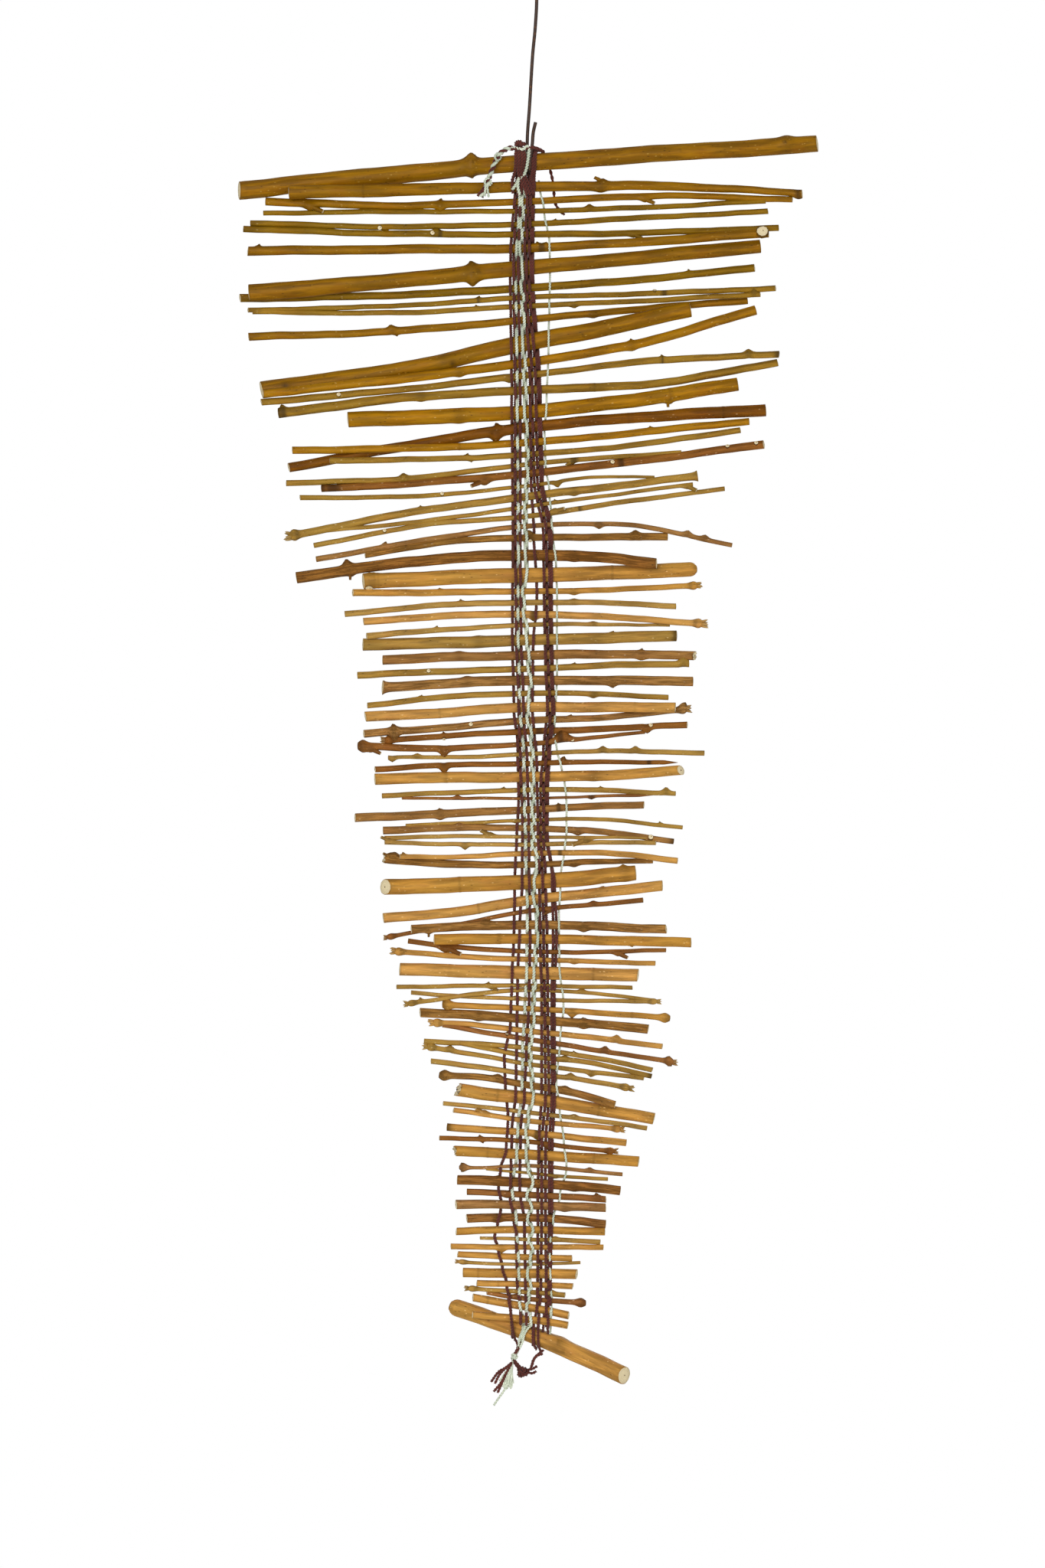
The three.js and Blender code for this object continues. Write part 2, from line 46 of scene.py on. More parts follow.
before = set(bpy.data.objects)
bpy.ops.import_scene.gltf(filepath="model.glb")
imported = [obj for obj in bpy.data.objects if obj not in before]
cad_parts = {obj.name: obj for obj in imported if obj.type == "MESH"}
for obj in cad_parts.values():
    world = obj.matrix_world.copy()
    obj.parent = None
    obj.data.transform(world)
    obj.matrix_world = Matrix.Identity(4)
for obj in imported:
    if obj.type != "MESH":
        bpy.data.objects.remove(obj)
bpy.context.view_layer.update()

MM = 0.001
BAND_X = -4.0  # where a twig's middle height is given, in millimetres
FRONT, BACK = -1, 1

# ---- The twigs ---------------------------------------------------------------------------------
# name, heights of the middle line at the left end, halfway in, the band, halfway out and the
# right end, left x, right x, left and right thickness, bark, ends (left, right), how far back the
# left end, the middle and the right end lie, and what grows on it. All in millimetres. On a twig:
#   node x swell          a thickened joint with a dark ring
#   ring x                a fine growth ring
#   bud x angle size      a pointed bud; angle 0 faces the front and 90 up
#   stub x angle size lean   a broken side shoot; lean -1 points left and 1 right
#   chip x angle size     a pale cut where a shoot was taken off
#   dark x width          a dark patch
#   eye x angle size      a dark, slightly raised scar of a lost shoot

THICK_TWIGS = (
    ("top_bar", (-119.5, -111.7, -105, -99.9, -95.1), -154.8, 146.8, 9.3, 8.7, "golden",
     "cut cut", (0, 0, 0),
     "node -34 .18; bud -33 82 4.4; bud -34 -75 4; eye -33 15 1.6; eye 130 15 2.6; "
     "node 131 .1; ring -152; eye 75 10 1"),
    ("twig_01", (-121.4, -119.9, -117.6, -117.3, -120.8), -128.5, 139, 7.2, 3.6, "golden",
     "cut cut", (-7.2, 0, 0),
     "node 34 .16; stub 35 80 4.5 -1; node 137 .35; dark 137 2.5; ring -90"),
    ("twig_06", (-151.2, -150.3, -149.6, -146.5, -142.3), -150.4, 121.2, 5, 4.6, "golden",
     "cut cut", (0, 0, -4.6),
     "bud -145 90 2.4; bud 1 80 1.8; bud 5 60 1.6; dark 3 3; chip 118 20 6"),
    ("twig_07", (-173.2, -167.2, -159.8, -154.3, -148.8), -149.6, 117.2, 8.8, 6.9, "golden",
     "cut cut", (-2, 0, 0),
     "node -33 .2; bud -33 82 5; bud -34 -80 4; eye -30 5 2; chip -35 -58 2.4"),
    ("twig_08", (-175.2, -174, -170.4, -166, -160), -154.8, 114.2, 4.2, 4, "olive", "cut cut",
     (5, 0, 0), "ring 24; ring 25.5; bud 80 80 1.6"),
    ("twig_11", (-196, -193.2, -186.9, -181.2, -176.6), -150, 110.8, 4.2, 3.6, "golden",
     "cut cut", (0, 0, 5), "bud -76 85 2; bud -73 -75 2; node -75 .15; node 30 .12"),
    ("twig_12", (-223.4, -213.7, -198.8, -191, -181.8), -143.4, 80.4, 9, 8.4, "golden", "cut cut",
     (3.5, 0, -2), "node -48 .12; eye -44 -30 3; eye -131 0 3.2; eye 24 -25 1.6; eye -110 40 1.4"),
    ("twig_13", (-225.8, -218.4, -209.3, -199, -182), -142, 114.8, 4.6, 5, "golden", "cut cut",
     (-3.8, 0, 0), "ring -131.5; ring -129.5; node -40 .16; node 50 .14; bud 50 80 2"),
    ("twig_14", (-230.2, -223.8, -216, -208.6, -205.3), -143.4, 126.8, 3.6, 3.6, "olive",
     "cut dark", (0, 0, -2.2),
     "chip -103 10 2.2; node -14 .2; bud 66 85 2; dark 66 1.5; node 111 .25"),
    ("twig_15", (-236, -227.9, -223.8, -220.3, -209.3), -134.5, 126.4, 5, 4, "olive", "dark cut",
     (0, 0, 2.2), "dark -132 3; bud -132 85 3.6; ring 29; ring 30.5; node -60 .12"),
    ("twig_16", (-239.2, -237.6, -235.2, -229, -220.8), -98, 105.4, 8, 7, "golden", "cut cut",
     (0, 0, 0), "ring 70; ring 71.5; stub 69 -80 3.4 0; node -40 .06"),
    ("twig_28", (-322, -313.3, -310, -311, -314.7), -125, 62.8, 5.8, 5.6, "dark", "cut cut",
     (0, 0, -3.5), "node -98 .3; bud -98 88 3.4; stub -97 -85 3 0; node 20 .08"),
    ("twig_29", (-323.8, -321.8, -320.5, -319.2, -317.2), -90, 84, 8, 7.4, "golden", "cut round",
     (0, 0, 3.5), "ring -87; ring -84.5; ring -82; node -86 .06; chip -87 -60 4; ring 40"),
    ("twig_34", (-356.7, -355.7, -354.4, -353.2, -352.3), -90.4, 73.4, 6.4, 5.6, "olive",
     "cut dark", (4.2, 0, 0), "node -30 .07; bud 40 85 1.8"),
    ("twig_35", (-364.9, -363.3, -362.3, -361.8, -362.6), -80, 83.5, 5, 4.6, "pink", "cut broken",
     (0, 0, 0), "node 55 .18; bud 55 80 2; node -40 .1"),
    ("twig_36", (-372.8, -370.8, -369.4, -367.6, -366.8), -93.2, 80, 3.6, 3.4, "olive", "cut cut",
     (0, 0, 0), "chip -56 15 2; node 77 .4; bud 20 80 1.4"),
    ("twig_37", (-379, -376.8, -375.6, -375.4, -376), -80, 82, 5, 5, "grey", "flare cut",
     (0, 0, 0), "node -36 .14; node 40 .16; bud 40 -80 2"),
    ("twig_38", (-388.6, -384.1, -382.2, -382.6, -384.4), -88, 69.2, 3.2, 2.8, "olive", "cut cut",
     (0, 0, 0), "bud -60 85 1.4; node 30 .2"),
    ("twig_39", (-394.4, -392.3, -389.4, -389.6, -389.8), -89, 72.6, 5.2, 5.4, "golden",
     "cut cut", (0, 0, -4.8), "ring -50; ring 52"),
    ("twig_45", (-427.2, -426.2, -425.8, -425.1, -422.4), -84, 75.6, 6, 5.2, "golden",
     "cut slant", (0, 0, 0), "ring -48; ring -46.5; node 30 .05"),
    ("twig_48", (-447.3, -445.2, -443, -441.5, -440.6), -94.4, 56.4, 4.6, 3.6, "pink", "cut cut",
     (0, 0, 0), "node -50 .16; bud -50 70 2; dark 12 2; bud 12 80 1.6"),
    ("twig_54", (-468.6, -471.6, -471.8, -470.4, -469.8), -80, 61.2, 4.6, 2.6, "grey",
     "broken cut", (4.3, 0, 4.3), "node -74 .2; stub -77 60 3 -1; node 20 .15"),
    ("twig_55", (-483.4, -482.3, -480.7, -478.9, -476), -78.5, 52, 8.2, 7.8, "golden",
     "slant cut", (0, 0, 0), "ring -40; node 47 .05; bud 46 85 3"),
    ("twig_56", (-499.7, -496.3, -490.3, -486.5, -482.7), -79.6, 66, 5.2, 5.4, "golden",
     "cut cut", (0, 0, 0), "ring -30; bud 35 80 1.6"),
    ("twig_59", (-510.8, -510.3, -510.5, -511.3, -512.4), -53, 81, 5.5, 5, "golden", "cut cut",
     (-4.9, 0, 0), "ring -20; ring -18.5; bud 50 -80 1.6"),
    ("twig_62", (-526.4, -527.2, -528.2, -528.8, -529.5), -71, 53.2, 6.8, 6.8, "golden",
     "cut cut", (0, 0, 0), "ring -45; ring 30"),
    ("twig_67", (-549, -550.4, -552.4, -554.8, -557.6), -60.4, 58.6, 4.8, 4.6, "grey", "cut cut",
     (0, 0, 0), "node -30 .1; node 25 .12; bud 25 80 1.8"),
    ("twig_74", (-581.6, -583, -586.8, -590.3, -597), -50.4, 41.2, 3.4, 4, "grey", "knob cut",
     (0, 0, -4), "node -20 .2; node 15 .14"),
    ("twig_75", (-589.2, -591.8, -593.7, -599, -604.6), -41, 61.6, 6.8, 6.4, "golden",
     "broken cut", (0, 0, 1.6), "ring -20; ring 33"),
    ("twig_80", (-621.3, -622.2, -623.1, -625.1, -626.9), -43, 53.6, 5.6, 5.4, "golden",
     "broken cut", (0, 0, 0), "ring -25; ring 30"),
    ("twig_83", (-636.4, -637, -638, -639.4, -642), -41, 44, 5, 4.9, "dark", "cut cut", (0, 0, 0),
     "node 20 .08; bud -20 80 1.6"),
    ("twig_92", (-684.8, -685, -685.3, -685.5, -685.7), -38, 21.2, 5.2, 5, "golden", "cut cut",
     (0, 0, 0), "ring -30"),
    ("twig_96", (-697.8, -700.4, -703, -705, -707.3), -32.8, 17, 4, 4.2, "golden", "cut cut",
     (0, 0, 0), "ring -25"),
    ("twig_97", (-706.6, -707.6, -709, -710.2, -712), -33, 16.6, 3.8, 3.8, "golden", "cut cut",
     (-3.4, -3.4, -3.4), "bud -22 80 1.4"),
    ("bottom_bar", (-702.4, -709.5, -716.8, -727.5, -739), -44.8, 46, 9.2, 9.2, "golden",
     "round slant", (3.4, 3.4, 3.4), "node 12 .07; eye 11 25 2.2; eye 14.5 -10 1.8; eye -25 5 1.6"),
)

THIN_TWIGS = (
    ("thin_twigs_02_05", (
        ("twig_02", (-125.3, -127.4, -125.2, -122.3, -124.2), -141.2, 134, 4.2, 3.2, "golden",
         "cut cut", "stub -118 -60 7 1; node -50 .3; bud -50 90 2.4; stub 57 -65 5 1"),
        ("twig_03", (-131.3, -130.6, -130.3, -128.3, -125), -142.4, 120, 2.7, 2.8, "olive",
         "cut cut", "node 28 .3; bud -60 80 1.2"),
        ("twig_04", (-136.6, -138.4, -137, -133.7, -130.3), -149.2, 121.2, 3.2, 3, "olive",
         "cut cut", "chip -81.5 -20 2.2; stub -79 -80 2.4 1; bud 10 80 1.4"),
        ("twig_05", (-139.6, -142, -142.4, -141.5, -139), -152.8, 126.8, 3.5, 3.4, "olive",
         "cut cut", "node -52 .25; chip -54 10 2.4; dark -50 1.8; stub 51 -50 4.5 1"),
    )),
    ("thin_twigs_09_10", (
        ("twig_09", (-182, -180, -175.3, -173.3, -170.6), -150.4, 125.2, 2.6, 3, "olive",
         "cut cut", "bud -30 85 1.8; dark -30 1.5; chip 62 60 2; dark 67 2.6"),
        ("twig_10", (-182.8, -183.5, -179.9, -177.1, -173.8), -148, 117.2, 2.8, 2.8, "olive",
         "cut cut", "bud -31 80 1.4; node 114 .4; node 20 .2"),
    )),
    ("thin_twigs_17_27", (
        ("twig_17", (-264, -252.6, -243.2, -237.7, -234.4), -129.2, 120, 5, 6.2, "russet",
         "cut cut", "node -21 .35; bud -20 85 3.4; bud -22 -80 3; ring 48; ring 50; ring 98"),
        ("twig_18", (-255.2, -254.2, -251.2, -245.9, -240.2), -127.2, 111.4, 4, 3.8, "golden",
         "cut cut", "ring -40; bud 60 80 1.6"),
        ("twig_19", (-260.6, -259.9, -257.4, -252.5, -244.7), -107.6, 106.8, 3.2, 3.1, "olive",
         "cut cut", "bud -36 85 1.8; bud -34 -80 1.4"),
        ("twig_20", (-272.4, -270, -262.6, -259.1, -256.4), -130.4, 76, 3.2, 2.4, "olive",
         "cut cut", "node -69 .3; dark 20 3.6; stub 19 -70 3.4 -1"),
        ("twig_21", (-275.2, -272.1, -267.4, -260.2, -252.2), -112, 119, 3.8, 4.4, "russet",
         "dark cut",
         "dark -106 7; stub -27 -55 7 -1; chip 40 20 2.2; dark 44.5 3; chip 100 40 2.2; "
         "chip 115 30 2.2"),
        ("twig_22", (-280, -279.3, -273.8, -269.2, -269.2), -123.2, 62, 2.8, 1.6, "olive",
         "cut cut", "chip -49 20 2; node 11 .5"),
        ("twig_23", (-300.2, -288, -279.3, -274.1, -268.6), -129.4, 84.4, 4, 4, "olive",
         "crown flare", "node 20 .12; bud -60 80 1.6"),
        ("twig_24", (-297.4, -292.2, -284.6, -278.6, -273), -112, 82, 2.4, 2, "olive", "cut cut",
         "stub 79 -55 5 1; bud 10 80 1.2"),
        ("twig_25", (-305, -294.5, -289.7, -282, -275.3), -116, 98.6, 2.8, 2.6, "olive",
         "cut cut", "chip -79 20 2; dark 23 1.5; stub 10 30 5 1"),
        ("twig_26", (-312.2, -302.4, -294.9, -294.5, -304.9), -114.8, 102.4, 3, 2.4, "pink",
         "cut cut", "bud -79 90 2.4; bud -76 -85 3; ring -38; node 33 .3; node 79 .3; node 88 .3"),
        ("twig_27", (-310, -303, -301, -300.5, -300.3), -89.2, 68.8, 3.4, 4, "grey", "cut cut",
         "bud -3 88 4; dark -3 3.6; chip -3 -50 2.2; node 52 .25"),
    )),
    ("thin_twigs_30_33", (
        ("twig_30", (-329.6, -329.5, -328.9, -328.1, -325.7), -95.6, 85.5, 3.8, 2.8, "golden",
         "cut crown", "node 20 .15; bud -50 80 1.4"),
        ("twig_31", (-340.8, -336.3, -334.8, -335, -336.8), -99.8, 73.2, 3.2, 3, "olive",
         "cut cut", "bud -39 85 1.8; node 20 .14"),
        ("twig_32", (-344.7, -341.8, -340.9, -342.6, -346), -90, 88, 4, 3.4, "golden",
         "cut crown", "node -1 .25; dark -1 3.6"),
        ("twig_33", (-352.4, -348.8, -346.5, -346.1, -346.6), -88.4, 70, 3.4, 1.6, "olive",
         "cut cut", "bud -52 85 1.6; node 30 .2"),
    )),
    ("thin_twigs_40_44", (
        ("twig_40", (-403.4, -400, -396.5, -394.7, -390.3), -89.8, 80, 4.2, 3, "grey",
         "cut crown", "node -74 .45; bud -74 85 3.4; chip -34 15 2.2; bud 18 85 1.6; bud 77 85 4"),
        ("twig_41", (-406.8, -404.2, -402.2, -400.7, -398.7), -80, 79, 3, 3.6, "russet",
         "crown cut", "bud -48 85 1.6; chip -48 -55 2; dark 1.5 3; node 58 .3; chip 60 20 2.2"),
        ("twig_42", (-409.8, -410.9, -408.7, -405.8, -402.5), -93, 57, 4, 1.8, "russet",
         "knob cut", "stub -86 -60 5 1; node -48 .45; node 14 .8 4.5; chip 19 10 2; dark 13 3"),
        ("twig_43", (-415.6, -415.6, -413.9, -412.4, -413.5), -77.2, 88, 2, 2.8, "olive",
         "cut cut", "node -75 .4; node -62 .3; node 35 .3; node 52 .3"),
        ("twig_44", (-422, -419.6, -419, -418, -418.4), -84, 74, 3.2, 2.4, "russet", "cut thorn",
         "node -48 .55; chip -47 -50 2; bud 14 85 3.4; dark 59 2.4"),
    )),
    ("thin_twigs_46_47", (
        ("twig_46", (-435.8, -434.1, -432.7, -432.9, -434.6), -80.4, 73, 2.8, 2.6, "olive",
         "cut cut", "bud -17 85 1.4; bud 34 85 1.4; node 68 .4"),
        ("twig_47", (-437, -437, -437.2, -436, -435.5), -70, 61, 1.6, 1.6, "russet", "cut thorn",
         "node -41 .4; dark 29 3; node 29 .3"),
    )),
    ("thin_twigs_49_53", (
        ("twig_49", (-451.3, -449.8, -448.5, -448.2, -452.3), -68, 76.6, 1.8, 2.2, "olive",
         "cut cut", "bud 65 85 1.6; node -10 .2"),
        ("twig_50", (-453.8, -452.6, -452.7, -454.6, -459.6), -79.8, 72, 4, 3, "pink", "cut dark",
         "node -40 .2; node 22 .2; chip 60 20 2.6"),
        ("twig_51", (-457.8, -457, -457.2, -457.6, -457.7), -79, 58, 2.4, 1.6, "olive", "cut cut",
         "stub -24 65 5 -1; stub 26 -60 7 -1"),
        ("twig_52", (-460, -461, -461.3, -460.2, -460.3), -79, 62.6, 2.4, 2.4, "olive", "cut cut",
         "node -37 .4; stub -77 60 4 -1"),
        ("twig_53", (-467.6, -467.5, -465.9, -465.6, -469.7), -71, 74, 2.6, 3.2, "golden",
         "cut cut", "dark 12.5 2; bud -69 85 2"),
    )),
    ("thin_twigs_57_58", (
        ("twig_57", (-510, -503, -496, -493, -490.2), -79, 56, 2.2, 2.6, "russet", "crown cut",
         "stub 8 -70 4 -1; node 30 .2"),
        ("twig_58", (-505.6, -503.9, -503.2, -504, -505.4), -65, 68, 4.8, 4.6, "grey", "cut cut",
         "node -26 .14; node 25 .14; stub -56 -85 2.6 0"),
    )),
    ("thin_twigs_60_61", (
        ("twig_60", (-511.7, -515.5, -517, -517.4, -516.4), -66.8, 68, 2.8, 2.2, "russet",
         "cut cut", "stub -47 -50 8 1; ring -6; ring -4.8; stub 43 -60 5 1"),
        ("twig_61", (-516.8, -519.8, -521.2, -522.4, -523.3), -74.8, 62.4, 3, 2.6, "golden",
         "crown cut", "bud -46 85 1.6; node 20 .15"),
    )),
    ("thin_twigs_63_66", (
        ("twig_63", (-535.6, -535.2, -534.9, -535.5, -536), -72.8, 50.4, 2.4, 2.2, "olive",
         "cut cut", "bud -25 85 1.6; stub -23 -60 3.6 1"),
        ("twig_64", (-544.5, -539.8, -537.2, -538.9, -542.6), -68, 61, 2.4, 2, "olive",
         "crown cut", "node 24 .3; bud -60 80 2"),
        ("twig_65", (-538.6, -540.8, -542, -543, -543.2), -65.2, 64.4, 2.2, 2.2, "olive",
         "cut crown", "node -10 .2"),
        ("twig_66", (-545, -545.8, -547, -549, -552), -48.8, 70, 3.2, 3, "golden", "knob knob",
         "bud -47 85 3; node 19 .4; ring 50"),
    )),
    ("thin_twigs_68_73", (
        ("twig_68", (-554.2, -555.7, -558.7, -562.3, -566.7), -54.8, 66, 3, 3, "golden",
         "crown cut", "node 42 .3"),
        ("twig_69", (-555.4, -559.3, -563, -569, -575), -48.8, 72.8, 2.8, 2.6, "russet",
         "cut crown", "bud -15 85 2; chip -15 50 1.8; node 36 .35; bud 69 80 2.4; bud 70 -80 2.4"),
        ("twig_70", (-564, -565.4, -567.6, -572.2, -579), -58.4, 60.8, 2.8, 2.6, "olive",
         "cut cut", "bud 20 80 1.4"),
        ("twig_71", (-564.8, -568.3, -571.8, -575.3, -582.3), -40, 60.4, 2.8, 2.6, "olive",
         "cut dark", "node 15 .2"),
        ("twig_72", (-566.6, -571, -576, -579.5, -583.3), -58, 56.4, 2.6, 2.4, "olive",
         "crown cut", "node -45 .3; node 29 .3"),
        ("twig_73", (-574.4, -577.4, -581.2, -583.8, -588.6), -54.8, 50, 2.8, 2.7, "olive",
         "cut crown", "node 18 .3"),
    )),
    ("thin_twigs_76_79", (
        ("twig_76", (-596.4, -598.6, -601.2, -604.8, -609.4), -48.4, 58, 2.4, 2.4, "olive",
         "cut cut", "node 20 .2"),
        ("twig_77", (-600, -602.8, -605.6, -607.8, -610.2), -43, 45.6, 2.8, 2.6, "golden",
         "cut crown", "stub -27 55 4.6 -1"),
        ("twig_78", (-608.8, -610.3, -611.8, -614.4, -617), -46.4, 47.2, 3.9, 3.6, "golden",
         "dark cut", "node 1 .25; dark 1 3.4"),
        ("twig_79", (-614.6, -615, -616.4, -619.5, -621.5), -50.4, 42, 2.6, 2.4, "russet",
         "cut crown", "bud -29 85 1.8; bud -28 -80 1.6; bud 6 -80 3.6"),
    )),
    ("thin_twigs_81_82", (
        ("twig_81", (-630, -629.8, -629, -631, -633.6), -40, 45.2, 1.8, 2.2, "pink", "knob cut",
         "bud -38 80 3; bud -38 -70 2.6; node 28 .3"),
        ("twig_82", (-630.8, -631.8, -632.8, -635, -636), -26, 37.6, 1.4, 2, "olive", "cut cut",
         "node 10 .2"),
    )),
    ("thin_twigs_84_87", (
        ("twig_84", (-642.6, -643.3, -644.3, -645.2, -646.6), -36, 36.5, 3.5, 3.4, "russet",
         "cut cut", "bud 32 85 2.6; node -15 .12"),
        ("twig_85", (-649.4, -649.3, -649.6, -650.2, -651), -41.6, 36.4, 4.8, 4.4, "pink",
         "cut cut", "node 15 .08"),
        ("twig_86", (-656.6, -656, -656.2, -657.3, -659.6), -36, 36.4, 4.5, 4.3, "dark",
         "cut cut", "node -20 .1"),
        ("twig_87", (-663.4, -662.6, -662.4, -662.8, -663.4), -41.5, 36, 4, 4, "golden",
         "cut cut", "ring 20"),
    )),
    ("thin_twigs_88_91", (
        ("twig_88", (-666.8, -667, -667.6, -668, -668.9), -29.2, 33.6, 1.8, 2.6, "olive",
         "cut cut", "node 10 .2"),
        ("twig_89", (-671.2, -671.4, -671.6, -671.6, -671.6), -44.4, 35.2, 3, 3, "golden",
         "cut cut", "node -18 .35"),
        ("twig_90", (-675.3, -676.2, -676.9, -677.1, -677.3), -40.8, 18.8, 3.2, 3.4, "golden",
         "cut cut", "bud -10 80 1.4"),
        ("twig_91", (-679, -680.2, -680.6, -680.2, -679.6), -41.5, 23.2, 1.8, 1.8, "olive",
         "crown cut", "node 5 .2"),
    )),
    ("thin_twigs_93_95", (
        ("twig_93", (-690.4, -690.7, -691.1, -691.5, -692), -30.8, 19.2, 3.4, 3.2, "golden",
         "cut cut", "ring -20"),
        ("twig_94", (-693, -694, -695, -695.8, -696.6), -36.4, 15.2, 2.2, 2.8, "olive",
         "crown cut", "node 8 .2"),
        ("twig_95", (-695.3, -697.2, -698.6, -699.8, -700.8), -25.6, 26, 2.2, 3, "russet",
         "cut knob", "node -10 .2"),
    )),
)

# How far back the ends of a thin twig lie where it passes a neighbour, as for the thick ones.
THIN_DEPTHS = {
    "twig_04": (0.6, 0, 0), "twig_17": (4.5, 0, 0), "twig_22": (0, 0, 1.2), "twig_26": (
        0, 0, -1.5
    ), "twig_57": (3.5, 0, 0),
    "twig_60": (1.5, 0, 0), "twig_64": (
        -1.4, 0, 0
    ), "twig_65": (1.2, 0, 0), "twig_32": (0, 0, -1.2),
    "twig_33": (0, 0, 1.2), "twig_50": (0, 0, 1.0), "twig_49": (
        0, 0, -0.8
    ), "twig_77": (0, 0, 1.2), "twig_76": (0, 0, -1.2),
}

# ---- The warps ---------------------------------------------------------------------------------
# name, colour, whether it starts in front of or behind the top bar, and its way down as x at z.

